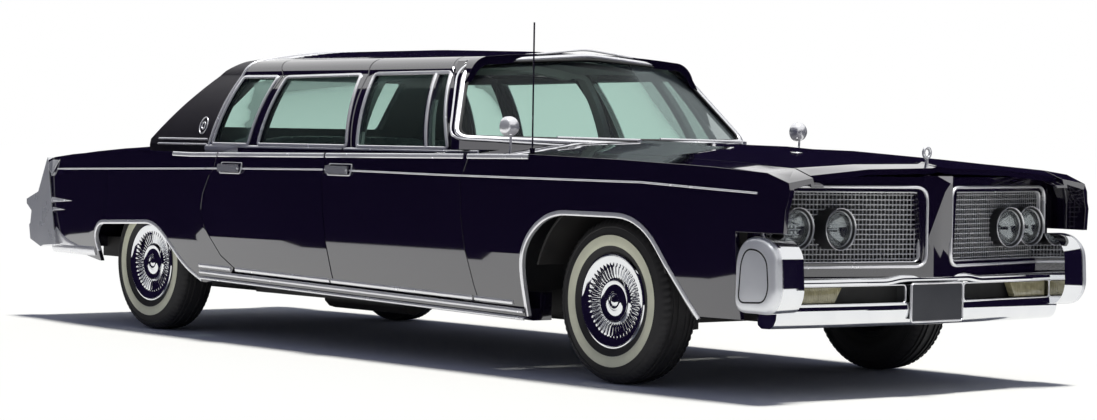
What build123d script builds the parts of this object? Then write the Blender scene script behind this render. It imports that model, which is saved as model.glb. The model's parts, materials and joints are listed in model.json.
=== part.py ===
# A long-wheelbase four-door limousine of the middle 1960s, in millimetres.
# +X points forward, +Y to the car's left, +Z up. The origin is on the ground, midway between
# the ends and on the centre line. Everything is drawn about a body datum, and moved at the end.
from build123d import *
import os
from math import hypot

# Driving sizes of the whole car
wheelbase = 3797.0
front_overhang = 1150.0
rear_overhang = 1276.0
front_axle_from_datum = 1947.0
half_width = 1000.0
waist_height = 1000.0
roof_height = 1500.0
wheel_inset = 215.0

# Running gear
tyre_radius = 360.0
tyre_width = 210.0
tyre_bore_radius = 199.0
rim_inner_radius = 178.0
rim_depth = 150.0
hub_radius = 62.0
spindle_radius = 22.0
spindle_fit = 0.05
knuckle_width = 46.0
knuckle_height = 210.0
arm_width = 56.0
arm_height = 28.0
axle_tube_radius = 40.0
axle_ball_radius = 150.0
propshaft_radius = 38.0
spring_width = 64.0
spring_leaf_height = 40.0
spring_inset = 175.0
exhaust_radius = 26.0
silencer_radius = 75.0

# Frame and floor
rail_width = 70.0
rail_height = 110.0
cross_width = 80.0
cross_height = 60.0
floor_wall = 15.0
liner_wall = 12.0
liner_radius = 440.0
rear_liner_radius = 402.0

# Body shell
skin_wall = 22.0
roof_wall = 38.0
door_depth = 130.0
shut_gap = 6.0
door_gap = 8.0
frame_gap = 12.0
door_taper = 45.0
seat_gap = 0.3
glass_wall = 6.0
glass_inset = 16.0
shut_lean = 0.5
hood_wall = 24.0
lid_gap = 8.0
ledge_reach = 50.0
ledge_wall = 10.0
overrun = 60.0

# Engine and front end
engine_length = 800.0
engine_width = 560.0
engine_height = 560.0
radiator_wall = 60.0
lamp_radius = 84.0
lamp_depth = 120.0
grille_bar = 5.0
grille_pitch = 64.0
grille_depth = 14.0

# Fittings
mast_radius = 4.0
mast_height = 600.0
mirror_radius = 62.0
steering_wheel_radius = 200.0
steering_rim_radius = 12.0
plate_width = 305.0
plate_height = 152.0
plate_wall = 12.0
plate_hole_radius = 3.5
plate_hole_spacing_y = 178.0
plate_hole_spacing_z = 121.0

# Worked out from the sizes above
datum_x = (wheelbase + front_overhang + rear_overhang) / 2 - front_overhang - front_axle_from_datum
front_axle_x = front_axle_from_datum
rear_axle_x = front_axle_from_datum - wheelbase
wheel_y = half_width - wheel_inset
nose_x = front_axle_x + front_overhang
tail_x = rear_axle_x - rear_overhang
axle_z = tyre_radius
ring_step = 6


def x_at(share):
    return share * wheelbase


def y_at(share):
    return share * half_width


def z_at(share):
    return share * waist_height


def side_points(shares):
    """Side-view points (x, z) from shares of the wheelbase and of the waist height."""
    return [(x_at(a), z_at(b)) for a, b in shares]


def end_points(shares):
    """End-view points (y, z) from shares of the half width and of the waist height."""
    return [(y_at(a), z_at(b)) for a, b in shares]


def plan_points(shares):
    """Plan-view points (x, y) from shares of the wheelbase and of the half width."""
    return [(x_at(a), y_at(b)) for a, b in shares]


def side_face(points, y, radii=0):
    corners = [(x, y, z) for x, z in points]
    wire = FilletPolyline(*corners, radius=radii, close=True) if radii else Polyline(*corners, close=True)
    return make_face(wire)


def side_prism(points, y_from, y_to, radii=0):
    """A side-view outline carried straight across the car."""
    return extrude(side_face(points, y_from, radii), y_to - y_from, dir=(0, 1, 0))


def end_prism(points, x_from, x_to):
    """An end-view outline carried along the car."""
    face = make_face(Polyline(*[(x_from, y, z) for y, z in points], close=True))
    return extrude(face, x_to - x_from, dir=(1, 0, 0))


def plan_prism(points, z_from, z_to):
    """A plan-view outline carried upwards."""
    face = make_face(Polyline(*[(x, y, z_from) for x, y in points], close=True))
    return extrude(face, z_to - z_from, dir=(0, 0, 1))


def block(x_from, x_to, y_from, y_to, z_from, z_to):
    middle = ((x_from + x_to) / 2, (y_from + y_to) / 2, (z_from + z_to) / 2)
    return Pos(*middle) * Box(x_to - x_from, y_to - y_from, z_to - z_from)


def rod(start, end, radius):
    """A round bar between two points."""
    a, b = Vector(*start), Vector(*end)
    return Plane(a, z_dir=b - a) * Cylinder(radius, (b - a).length, align=(Align.CENTER, Align.CENTER, Align.MIN))


def bar(start, end, radius, flats):
    """A bar of many flats between two points."""
    a, b = Vector(*start), Vector(*end)
    return Plane(a, z_dir=b - a) * extrude(RegularPolygon(radius, flats), (b - a).length)


def station_loft(stations):
    """Straight-ruled body through end-view outlines, each given as (x, [(y, z), ...])."""
    return loft([make_face(Polyline(*[(x, y, z) for y, z in pts], close=True)) for x, pts in stations], ruled=True)


def flat(corners):
    return make_face(Polyline(*corners, close=True))


def turned_corners(points, turn):
    """(height along Z, radius) points turned about Z."""
    return [Vector(r, 0, a).rotate(Axis.Z, turn) for a, r in points]


def ring(points, flats):
    """A ring about Z in straight flats, from (height along Z, radius) points."""
    steps = [turned_corners(points, 360 / flats * i) for i in range(flats)]
    faces = []
    for here, there in zip(steps, steps[1:] + steps[:1]):
        for i in range(len(points)):
            faces.append(flat([here[i - 1], here[i], there[i], there[i - 1]]))
    return Solid(Shell(faces))


def bulb(points, flats):
    """A closed solid about Z in straight flats, from (height along Z, radius) points."""
    rings = [[Vector(r, 0, a).rotate(Axis.Z, 360 / flats * i) for i in range(flats)] for a, r in points]
    faces = [flat(rings[0]), flat(rings[-1])]
    for low, high in zip(rings, rings[1:]):
        for i in range(flats):
            faces.append(flat([low[i - 1], low[i], high[i], high[i - 1]]))
    return Solid(Shell(faces))


def other_side(piece):
    return mirror(piece, about=Plane.XZ)


def both(piece):
    return [piece, other_side(piece)]


def solids_of(*pieces):
    found = []
    for piece in pieces:
        if isinstance(piece, (list, tuple)):
            found += solids_of(*piece)
        else:
            found += list(piece.solids())
    return found


def write(name, *pieces):
    """One node: its solids moved from the body datum to the part's origin."""
    moved = [Pos(datum_x, 0, 0) * solid for solid in solids_of(*pieces)]
    shape = Compound(children=moved) if len(moved) > 1 else moved[0]
    export_step(shape, "parts/" + name + ".step")


# The body side. Columns: station along the car, side share of the half width, height of the waist line.
flank_shares = [
    (-0.7638, 0.905, 0.905),
    (-0.6979, 0.940, 0.921),
    (-0.6057, 0.972, 0.947),
    (-0.5004, 0.992, 0.962),
    (-0.3424, 1.000, 0.954),
    (0.3950, 1.000, 0.986),
    (0.5557, 0.996, 0.972),
    (0.6953, 0.970, 0.952),
    (0.7743, 0.945, 0.933),
    (0.8072, 0.930, 0.890),
]
# The side's profile from the sill up. Columns: share of the side's half width, share of the waist line's height.
flank_profile_shares = [(0.930, 0.250), (0.962, 0.400), (0.988, 0.560), (1.000, 0.720), (1.000, 0.880),
                        (0.988, 0.915), (0.975, 1.000)]
# The shoulder runs inwards from the waist line. Columns: share of the half width, rise above the waist line.
shoulder_share = 0.765
shoulder_rise_share = 0.018


def flank_at(x):
    """Half width and waist height at a station, by straight lines between the table's rows."""
    rows = flank_shares
    for (a, side_a, waist_a), (b, side_b, waist_b) in zip(rows, rows[1:]):
        if x_at(a) <= x <= x_at(b):
            t = (x - x_at(a)) / (x_at(b) - x_at(a))
            return y_at(side_a + t * (side_b - side_a)), z_at(waist_a + t * (waist_b - waist_a))
    return (y_at(rows[0][1]), z_at(rows[0][2])) if x < 0 else (y_at(rows[-1][1]), z_at(rows[-1][2]))


def flank_outer(x):
    side, waist = flank_at(x)
    return [(side * a, waist * b) for a, b in flank_profile_shares]


def skin_section(x):
    """A thin section: side skin and the shoulder that carries the edge of the lid."""
    outer = flank_outer(x)
    waist = outer[-1][1]
    shoulder = (y_at(shoulder_share), waist + z_at(shoulder_rise_share))
    inner_side = [(y - skin_wall, z) for y, z in outer[:-1]]
    inner_top = (outer[-1][0] - skin_wall, waist - skin_wall)
    ledge = shoulder[1] - hood_wall - seat_gap
    ledges = [(shoulder[0], ledge), (shoulder[0] - ledge_reach, ledge), (shoulder[0] - ledge_reach, ledge - ledge_wall),
              (shoulder[0] + skin_wall, ledge - ledge_wall), (shoulder[0] + skin_wall, shoulder[1] - skin_wall)]
    return outer + [shoulder] + ledges + [inner_top] + inner_side[::-1]


def stations_between(x_from, x_to):
    inside = [x_at(row[0]) for row in flank_shares if x_from < x_at(row[0]) < x_to]
    return [x_from] + inside + [x_to]


def skin(x_from, x_to):
    return station_loft([(x, skin_section(x)) for x in stations_between(x_from, x_to)])


# The greenhouse section: glass base, glass top, and the roof's side edge, for the left side.
house_base_shares = (0.870, 0.940)
house_waist_shares = (0.870, 0.990)
house_belly_shares = (0.808, 1.185)
house_top_shares = (0.705, 1.358)
house_shoulder_shares = (0.672, 1.408)
house_edge_shares = (0.600, 1.440)
# Roof crown along the car. Columns: station, height of the crown as a share of the roof height.
crown_shares = [(-0.5162, 1.000), (-0.0790, 1.000), (0.0790, 0.990), (0.2002, 0.976)]
# The roof's rear slope in the side view.
slope_shares = [(-0.4964, 0.940), (-0.4964, 1.020), (-0.4359, 1.204), (-0.3740, 1.385), (-0.3397, 1.450),
                (-0.2844, 1.520)]


def house_section(x, crown, inset):
    """The whole greenhouse outline at one station, set in by a wall thickness."""
    def left(share_pair, lower=0.0):
        return (x, y_at(share_pair[0]) - inset, z_at(share_pair[1]) - lower)

    def right(share_pair, lower=0.0):
        return (x, inset - y_at(share_pair[0]), z_at(share_pair[1]) - lower)

    drop = inset * roof_drop_share
    outline = [
        Line(right(house_base_shares), right(house_waist_shares)),
        ThreePointArc(right(house_waist_shares), right(house_belly_shares), right(house_top_shares)),
        ThreePointArc(right(house_top_shares), right(house_shoulder_shares, drop), right(house_edge_shares, inset)),
        ThreePointArc(right(house_edge_shares, inset), (x, 0, crown - inset), left(house_edge_shares, inset)),
        ThreePointArc(left(house_edge_shares, inset), left(house_shoulder_shares, drop), left(house_top_shares)),
        ThreePointArc(left(house_top_shares), left(house_belly_shares), left(house_waist_shares)),
        Line(left(house_waist_shares), left(house_base_shares)),
        Line(left(house_base_shares), right(house_base_shares)),
    ]
    return make_face(outline)


roof_drop_share = 0.5


def house(inset):
    """The greenhouse as a filled body, set in from the outside by a thickness."""
    body = loft([house_section(x_at(a), roof_height * b, inset) for a, b in crown_shares], ruled=True)
    slope = [(x + inset, z - inset * roof_drop_share) for x, z in side_points(slope_shares)]
    front = x_at(crown_shares[-1][0]) + overrun
    top = slope[-1][1] + overrun
    keep = slope + [(slope[-1][0], top), (front, top), (front, slope[0][1])]
    return body & side_prism(keep, -half_width, half_width)


house_outer = house(0)
house_inner = house(roof_wall)
glass_outer = house(glass_inset)
glass_inner = house(glass_inset + glass_wall)
house_shell = house_outer - house_inner
glass_shell = glass_outer - glass_inner

# Doors, as seen from the side. The lower outline is drawn at the body side and the upper at the glass.
# Columns: station, height.
shut_line_shares = [(-0.0234, 1.100), (-0.0234, 0.985), (-0.0163, 0.350)]
rear_door_shares = [(-0.2420, 0.372), (-0.2707, 0.434), (-0.2871, 0.510), (-0.3018, 0.580),
                    (-0.3071, 0.652), (-0.3013, 0.744), (-0.2815, 0.863), (-0.2755, 1.100)]
front_door_shares = [(0.2734, 1.100), (0.2734, 0.980), (0.2665, 0.875), (0.2710, 0.590), (0.2813, 0.320)]
frame_line_shares = [(-0.0332, 1.560), (-0.0332, 1.440), (-0.0311, 1.358), (-0.0063, 0.990), (-0.0063, 0.940)]
rear_frame_shares = [(-0.2344, 0.940), (-0.2344, 0.990), (-0.2239, 1.358), (-0.2449, 1.440), (-0.2449, 1.560)]
front_frame_shares = [(0.1330, 1.560), (0.1396, 1.440), (0.1514, 1.358), (0.2041, 0.990), (0.2081, 0.940)]
# Windows, drawn at the glass. Columns: station, height.
quarter_window_shares = [(-0.3324, 1.005), (-0.2468, 1.005), (-0.2373, 1.345), (-0.3176, 1.345)]
rear_window_shares = [(-0.2202, 1.005), (-0.0187, 1.005), (-0.0469, 1.352), (-0.2128, 1.345)]
front_window_shares = [(0.0079, 1.005), (0.1480, 1.005), (0.1106, 1.357), (-0.0134, 1.355)]
vent_window_shares = [(0.1585, 1.005), (0.1954, 1.005), (0.1435, 1.357), (0.1230, 1.357)]


def house_y(z):
    """Half width of the greenhouse surface at a height, by straight lines between its named points."""
    rows = [house_base_shares, house_waist_shares, house_top_shares, house_edge_shares]
    for (side_a, a), (side_b, b) in zip(rows, rows[1:]):
        if z_at(a) <= z <= z_at(b):
            t = (z - z_at(a)) / (z_at(b) - z_at(a))
            return y_at(side_a + t * (side_b - side_a))
    return y_at(rows[-1][0]) if z > z_at(rows[0][1]) else y_at(rows[0][0])


def leaning(points, y_from, y_to, grow=0):
    """A side outline, drawn at the widest plane, carried across with its shut faces leaning forwards inboard."""
    face = side_face(points, 0)
    if grow:
        face = offset(face, amount=grow, kind=Kind.INTERSECTION)
    start = Pos(shut_lean * (half_width - y_from), y_from, 0) * face
    span = y_to - y_from
    return extrude(start, span * hypot(1, shut_lean), dir=(-shut_lean, 1, 0))


def at_widest(shares):
    """Moves an outline drawn at the greenhouse surface to where the leaning faces meet the widest plane."""
    return [(x - shut_lean * (half_width - house_y(z)), z) for x, z in side_points(shares)]


def moved(points, gap):
    return [(x + gap, z) for x, z in points]


shut_line = side_points(shut_line_shares)
frame_line = at_widest(frame_line_shares)
rear_door_line = side_points(rear_door_shares) + shut_line
front_door_line = moved(shut_line[::-1], door_gap) + side_points(front_door_shares)
rear_frame_line = at_widest(rear_frame_shares) + frame_line
front_frame_line = moved(frame_line[::-1], frame_gap) + at_widest(front_frame_shares)
inner_reach = y_at(house_edge_shares[0])
door_inner = half_width - door_depth + shut_gap
door_lines = {"rear": (rear_door_line, rear_frame_line), "front": (front_door_line, front_frame_line)}

# Sill, under the doors. Columns: share of the half width, rise above the sill's foot.
sill_ends_shares = [(-0.3266, 0.291, 0.352), (0.3792, 0.245, 0.300)]
sill_inner = y_at(0.795)
sill_ledge = y_at(0.862)
sill_foot_side, sill_bulge_side, sill_head_side = y_at(0.900), y_at(0.945), y_at(0.955)
sill_bulge_share = 0.3
sill_upstand = 70.0


def sill_section(x, foot, head):
    bulge = foot + (head - foot) * sill_bulge_share
    return (x, [(sill_inner, foot), (sill_foot_side, foot), (sill_bulge_side, bulge), (sill_head_side, head),
                (sill_ledge, head), (sill_ledge, head + sill_upstand), (sill_inner, head + sill_upstand)])


sill = station_loft([sill_section(x_at(a), z_at(b), z_at(c)) for a, b, c in sill_ends_shares])

# Wheel arches, in the side view, about each axle. Columns: share of the tyre radius, height share of it.
front_arch_shares = [(-1.39, 0.30), (-1.39, 1.58), (-0.85, 2.02), (0.83, 2.02), (1.66, 0.83), (1.66, 0.30)]
front_arch_radii_shares = [0, 0.40, 0.40, 0.40, 0, 0]
rear_arch_shares = [(-1.20, 0.30), (-1.20, 1.00), (-1.28, 1.35), (-1.10, 1.54), (0.62, 1.60), (1.06, 1.20),
                    (1.34, 0.96), (1.75, 0.78), (1.75, 0.30)]


def arch_points(axle_x, shares):
    return [(axle_x + a * tyre_radius, b * tyre_radius) for a, b in shares]


front_arch = arch_points(front_axle_x, front_arch_shares)
rear_arch = arch_points(rear_axle_x, rear_arch_shares)

# Front fender: skin from the door to the tip, cut round the arch, and under it at the bumper's end.
fender_shares = [(0.2594, 0.312), (0.4109, 0.285), (0.6479, 0.330), (0.7348, 0.330), (0.7374, 0.690),
                 (0.8038, 0.690), (0.8072, 0.860), (0.7927, 1.020), (0.2594, 1.100)]
fender = skin(x_at(fender_shares[0][0]), x_at(fender_shares[6][0]))
fender &= side_prism(side_points(fender_shares), 0, half_width)
fender -= side_prism(front_arch, 0, half_width + overrun, [a * tyre_radius for a in front_arch_radii_shares])
fender -= leaning(front_door_line, 0, half_width + overrun, shut_gap)
fender -= leaning(front_frame_line, 0, half_width + overrun, shut_gap)
fender -= sill
fender = fender.solids().sort_by(SortBy.VOLUME)[-1]

# Quarter panel: from the rear door to the tail.
quarter_shares = [(-0.7598, 0.905), (-0.7611, 0.800), (-0.7348, 0.420), (-0.6057, 0.350),
                  (-0.3160, 0.285), (-0.2528, 0.330), (-0.2318, 0.400), (-0.2318, 1.100), (-0.7598, 1.100)]
quarter = skin(x_at(quarter_shares[1][0]), x_at(quarter_shares[7][0]))
quarter &= side_prism(side_points(quarter_shares), 0, half_width)
quarter -= side_prism(rear_arch, 0, half_width + overrun)
quarter -= leaning(rear_door_line, 0, half_width + overrun, shut_gap)
quarter -= block(x_at(-0.4972), x_at(-0.2107), 0, y_at(house_base_shares[0]), 0, roof_height)
quarter -= sill
quarter = quarter.solids().sort_by(SortBy.VOLUME)[-1]

# Doors
relief_shares = [(0.2094, 0.930), (0.3160, 0.930), (0.3160, 1.100), (0.2094, 1.100)]
relief_y_share = 0.945
shelf_share = 0.985
taper_shares = (0.470, 0.400)
door_rail_inner = y_at(house_waist_shares[0]) - roof_wall


def door_blank(x_from, x_to):
    def section(x):
        outer = flank_outer(x)
        inner = [(door_inner, z_at(shelf_share)), (door_inner, z_at(taper_shares[0])),
                 (door_inner + door_taper, z_at(taper_shares[1])), (door_inner + door_taper, outer[0][1])]
        return (x, outer + inner)
    return station_loft([section(x) for x in stations_between(x_from, x_to)])


def door(which, windows):
    lower, upper = door_lines[which]
    xs = [x for x, z in lower]
    body = door_blank(min(xs) - overrun, max(xs) + overrun) & leaning(lower, door_inner - overrun, half_width + overrun)
    frame_prism = leaning(upper, inner_reach, half_width + overrun)
    frame = house_shell & frame_prism
    rail = block(min(xs) - overrun, max(xs) + overrun, door_rail_inner, door_inner + overrun,
                 z_at(house_base_shares[1]), z_at(shelf_share)) & frame_prism
    rail &= leaning(lower, 0, half_width + overrun) + block(min(xs), max(xs), 0, door_inner, 0, roof_height)
    made = body + frame + rail
    for shares in windows:
        made -= side_prism(side_points(shares), 0, half_width)
    if which == "front":
        made -= side_prism(side_points(relief_shares), 0, y_at(relief_y_share))
    return made.solids().sort_by(SortBy.VOLUME)[-1]


def pane(shares):
    face = offset(side_face(side_points(shares), 0), amount=-seat_gap, kind=Kind.INTERSECTION)
    return glass_shell & extrude(face, half_width, dir=(0, 1, 0))


rear_door = door("rear", [rear_window_shares])
front_door = door("front", [front_window_shares, vent_window_shares])
rear_pane = pane(rear_window_shares)
front_panes = [pane(front_window_shares), pane(vent_window_shares)]
quarter_pane = pane(quarter_window_shares)

# Windscreen: a leaning bowed shell. Columns: height, station at the side, half width, station at the middle.
screen_shares = [(1.000, 0.2357, 0.945, 0.2884), (1.500, 0.1475, 0.628, 0.1817)]


bow_shares = (-1, -0.8, -0.55, -0.28, 0, 0.28, 0.55, 0.8, 1)


def screen_body(inset, wall):
    """The bowed screen as a solid of some wall, set in from its outer face."""
    faces = []
    for height, side_x, side_y, middle_x in screen_shares:
        z = z_at(height)
        rows = [(x_at(middle_x) + (x_at(side_x) - x_at(middle_x)) * t * t, y_at(side_y) * t) for t in bow_shares]
        front = [(x - inset, y, z) for x, y in rows]
        back = [(x - inset - wall, y, z) for x, y in rows]
        faces.append(flat(front + back[::-1]))
    return loft(faces, ruled=True)


screen_hole_shares = [(-0.885, 1.062), (-0.680, 1.362), (-0.560, 1.412), (0, 1.436), (0.560, 1.412), (0.680, 1.362),
                      (0.885, 1.062)]
screen_rim_shares = [(-0.935, 0.975), (-0.722, 1.350), (-0.668, 1.418), (-0.598, 1.440), (0, 1.462), (0.598, 1.440),
                     (0.668, 1.418), (0.722, 1.350), (0.935, 0.975)]
screen_wall = 60.0
screen_span = (x_at(0.1053), x_at(0.3160))
screen_hole = end_prism(end_points(screen_hole_shares), *screen_span)
screen_frame = (screen_body(0, screen_wall) & end_prism(end_points(screen_rim_shares), *screen_span)) - screen_hole
windscreen = screen_body(glass_inset, glass_wall) & extrude(
    offset(make_face(Polyline(*[(screen_span[0], y, z) for y, z in end_points(screen_hole_shares)], close=True)),
           amount=-seat_gap, kind=Kind.INTERSECTION), screen_span[1] - screen_span[0], dir=(1, 0, 0))

# Roof with its pillars: what the doors, windows and screens leave of the greenhouse.
backlight_shares = [(-0.560, 1.090), (-0.480, 1.345), (0.480, 1.345), (0.560, 1.090)]
backlight_span = (x_at(-0.5267), x_at(-0.3424))
backlight_hole = end_prism(end_points(backlight_shares), *backlight_span)
roof = house_shell - side_prism(side_points(quarter_window_shares), -half_width, half_width)
roof_front_shares = [(0.1844, 0.900), (0.1844, 1.600), (0.2634, 1.600), (0.2634, 0.900)]
roof -= side_prism(side_points(roof_front_shares), -half_width, half_width)
roof -= backlight_hole
roof -= block(x_at(-0.2107), x_at(0.2370), -half_width, half_width, 0, z_at(house_waist_shares[1]))
roof += screen_frame
roof -= screen_body(0, screen_wall) & screen_hole
for which in door_lines:
    space = leaning(door_lines[which][1], inner_reach - shut_gap, half_width + overrun, shut_gap)
    roof -= space
    roof -= other_side(space)
roof -= leaning(rear_door_line, door_inner - shut_gap, half_width + overrun, shut_gap)
roof -= other_side(leaning(rear_door_line, door_inner - shut_gap, half_width + overrun, shut_gap))
backlight = glass_shell & extrude(
    offset(make_face(Polyline(*[(backlight_span[0], y, z) for y, z in end_points(backlight_shares)], close=True)),
           amount=-seat_gap, kind=Kind.INTERSECTION), backlight_span[1] - backlight_span[0], dir=(1, 0, 0))

# Frame: two rails that narrow at the front, spread under the cabin and rise over the rear axle.
# Columns: station, share of the half width, height of the rail's middle.
rail_shares = [(0.7585, 0.430, 0.350), (0.3687, 0.430, 0.330), (0.2765, 0.640, 0.290), (-0.2976, 0.640, 0.290),
               (-0.3740, 0.500, 0.545), (-0.5926, 0.500, 0.545), (-0.6531, 0.500, 0.400), (-0.7717, 0.500, 0.400)]
# Cross members. Columns: station, share of the half width at the rails, height of the member's middle.
cross_shares = [(0.7480, 0.430, 0.350), (0.5128, 0.430, 0.285), (0.2370, 0.640, 0.290), (-0.0395, 0.640, 0.290),
                (-0.2897, 0.640, 0.290), (-0.5794, 0.500, 0.545), (-0.7611, 0.500, 0.400)]


def rail_section(x, y, z):
    return (x, [(y - rail_width / 2, z - rail_height / 2), (y + rail_width / 2, z - rail_height / 2),
                (y + rail_width / 2, z + rail_height / 2), (y - rail_width / 2, z + rail_height / 2)])


rail = station_loft([rail_section(x_at(a), y_at(b), z_at(c)) for a, b, c in rail_shares])
chassis = rail + other_side(rail)
for a, b, c in cross_shares:
    reach = y_at(b)
    chassis += block(x_at(a) - cross_width / 2, x_at(a) + cross_width / 2, -reach, reach,
                     z_at(c) - cross_height / 2, z_at(c) + cross_height / 2)

# Floor, firewall and the raised floor behind the seats
floor_z = z_at(0.290) + rail_height / 2
rear_floor_z = z_at(0.545) + rail_height / 2
firewall_x = x_at(0.2858)
seat_step_x = x_at(-0.3542)
boot_end_x = x_at(-0.7585)
boot_half = y_at(0.640)
cowl_foot_z = z_at(0.950)
floor_pan = block(seat_step_x, firewall_x, -sill_inner, sill_inner, floor_z, floor_z + floor_wall)
floor_pan += block(firewall_x - floor_wall, firewall_x, -sill_inner, sill_inner, floor_z, cowl_foot_z)
floor_pan += block(seat_step_x, seat_step_x + floor_wall, -sill_inner, sill_inner, floor_z, rear_floor_z + floor_wall)
floor_pan += block(boot_end_x, seat_step_x + floor_wall, -boot_half, boot_half, rear_floor_z, rear_floor_z + floor_wall)
rear_wall_x = x_at(-0.4741)
rear_wall_top = z_at(0.955)
floor_pan += block(rear_wall_x, rear_wall_x + floor_wall, -boot_half, boot_half, rear_floor_z, rear_wall_top)
floor_pan -= chassis


# Wheel housings: half a drum over each tyre, closed on the inner side
def housing(axle_x, radius, inner_y, outer_y, foot_z):
    centre = Pos(axle_x, (inner_y + outer_y) / 2, axle_z) * Rot(90, 0, 0)
    drum = centre * Cylinder(radius + liner_wall, outer_y - inner_y)
    hollow = Pos(axle_x, inner_y + liner_wall + overrun + (outer_y - inner_y) / 2, axle_z) * Rot(90, 0, 0)
    drum -= Pos(0, -overrun, 0) * (hollow * Cylinder(radius, outer_y - inner_y))
    return drum & block(axle_x - radius - overrun, axle_x + radius + overrun, 0, outer_y, foot_z, roof_height)


liner_outer = y_at(0.950)
rail_outer = y_at(0.430) + rail_width / 2
front_liner = housing(front_axle_x, liner_radius, rail_outer, liner_outer, z_at(0.500))
rear_liner = housing(rear_axle_x, rear_liner_radius, boot_half, liner_outer, z_at(0.580)) - quarter


# Lids. Columns: station, height of the raised middle. Their edges follow the fenders' shoulders.
hood_shares = [(0.3029, 1.046), (0.5549, 1.030), (0.6953, 0.998), (0.7674, 0.978), (0.7954, 0.958)]
boot_shares = [(-0.7564, 0.944), (-0.6979, 0.968), (-0.6057, 0.996), (-0.5017, 1.006)]
lid_edge_share = 0.755
peak_half_share = 0.040
peak_rise_share = 0.008
ridge_share = 0.420
ridge_rise_share = 0.800


def middle_at(shares, x):
    for (a, low), (b, high) in zip(shares, shares[1:]):
        if x_at(a) <= x <= x_at(b):
            return z_at(low + (high - low) * (x - x_at(a)) / (x_at(b) - x_at(a)))
    return z_at(shares[-1][1])


def lid_section(x, middle):
    edge = flank_outer(x)[-1][1] + z_at(shoulder_rise_share)
    ridge = (y_at(ridge_share), edge + (middle - edge) * ridge_rise_share)
    half = [(y_at(lid_edge_share), edge), ridge, (y_at(peak_half_share), middle), (0, middle + z_at(peak_rise_share))]
    top = half + [(-y, z) for y, z in half[-2::-1]]
    return (x, top + [(y, z - hood_wall) for y, z in top[::-1]])


def lid(shares):
    start, end = x_at(shares[0][0]), x_at(shares[-1][0])
    marks = sorted(set(stations_between(start, end)) | {x_at(row[0]) for row in shares})
    return station_loft([lid_section(x, middle_at(shares, x)) for x in marks])


hood = lid(hood_shares)
boot_lid = lid(boot_shares)

# Cowl between the hood and the windscreen, with the pillars that carry the front doors
cowl_shares = [(0.905, 0.985), (0.500, 1.022), (0, 1.034), (-0.500, 1.022), (-0.905, 0.985), (-0.905, 0.955),
               (-0.500, 0.990), (0, 1.002), (0.500, 0.990), (0.905, 0.955)]
cowl_rear = x_at(0.2133)
cowl_front = x_at(hood_shares[0][0]) - lid_gap * 2
cowl = end_prism(end_points(cowl_shares), cowl_rear, cowl_front)
plenum_top = z_at(0.970)
cowl += block(firewall_x - floor_wall, cowl_front, -sill_inner, sill_inner, cowl_foot_z, plenum_top)
pillar_inner = sill_inner + seat_gap
pillar_outer = y_at(0.836)
hinge_height = 60.0
hinge_shares = (0.460, 0.820)
front_pillar_x = (x_at(0.2944), x_at(0.3102))
front_pillar = block(*front_pillar_x, pillar_inner, pillar_outer, z_at(0.320), plenum_top)
for share in hinge_shares:
    leaf = block(x_at(0.2713), front_pillar_x[1], pillar_outer - skin_wall, y_at(0.945),
                 z_at(share) - hinge_height / 2, z_at(share) + hinge_height / 2)
    front_pillar += leaf - leaning(front_door_line, pillar_inner, half_width + overrun, seat_gap)
front_pillar -= sill
cowl += front_pillar
cowl += other_side(front_pillar)
cowl -= roof
cowl -= fender
cowl -= other_side(fender)

# Centre hoop: a pillar each side behind the doors' joint, carried over the cabin under the roof
hoop_x = (x_at(-0.0263), x_at(-0.0105))
hoop_inset = roof_wall + lid_gap
hoop_wall = 36.0
hoop_crown = roof_height * crown_shares[2][1]


def hoop_face(inset):
    return house_section(hoop_x[0], hoop_crown, inset)


hoop = extrude(hoop_face(hoop_inset) - hoop_face(hoop_inset + hoop_wall), hoop_x[1] - hoop_x[0], dir=(1, 0, 0))
hoop -= block(*[x + d for x, d in zip(hoop_x, (-overrun, overrun))], -y_at(0.760), y_at(0.760),
              z_at(0.900), z_at(house_waist_shares[1]))
centre_pillar_x = (x_at(-0.0421), x_at(-0.0079))
centre_pillar = block(*centre_pillar_x, pillar_inner, pillar_outer, z_at(0.320), z_at(house_base_shares[1]))
for share in hinge_shares:
    centre_pillar += block(centre_pillar_x[0], x_at(-0.0290), pillar_outer - skin_wall, door_inner - seat_gap,
                           z_at(share) - hinge_height / 2, z_at(share) + hinge_height / 2)
centre_pillar += block(*hoop_x, pillar_inner - skin_wall, door_rail_inner - shut_gap,
                       z_at(house_base_shares[1]) - skin_wall, z_at(house_waist_shares[1]))
centre_pillar -= sill
pillars = hoop + centre_pillar + other_side(centre_pillar)

# Tail panel between the quarters
tail_panel_x = (x_at(-0.7653), x_at(-0.7595))
tail_shares = [(0.745, 0.400), (0.880, 0.450), (0.880, 0.800), (0.745, 0.900), (-0.745, 0.900), (-0.880, 0.800),
               (-0.880, 0.450), (-0.745, 0.400)]
tail_panel = end_prism(end_points(tail_shares), *tail_panel_x)
tail_panel -= quarter
tail_panel -= chassis
tail_panel -= other_side(quarter)
tail_panel = tail_panel.solids().sort_by(SortBy.VOLUME)[-1]
plate_mid_z = z_at(0.680)
for y in (-plate_hole_spacing_y / 2, plate_hole_spacing_y / 2):
    for z in (plate_mid_z - plate_hole_spacing_z / 2, plate_mid_z + plate_hole_spacing_z / 2):
        tail_panel -= rod((tail_panel_x[0] - overrun, y, z), (tail_panel_x[1] + overrun, y, z), plate_hole_radius)

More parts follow.
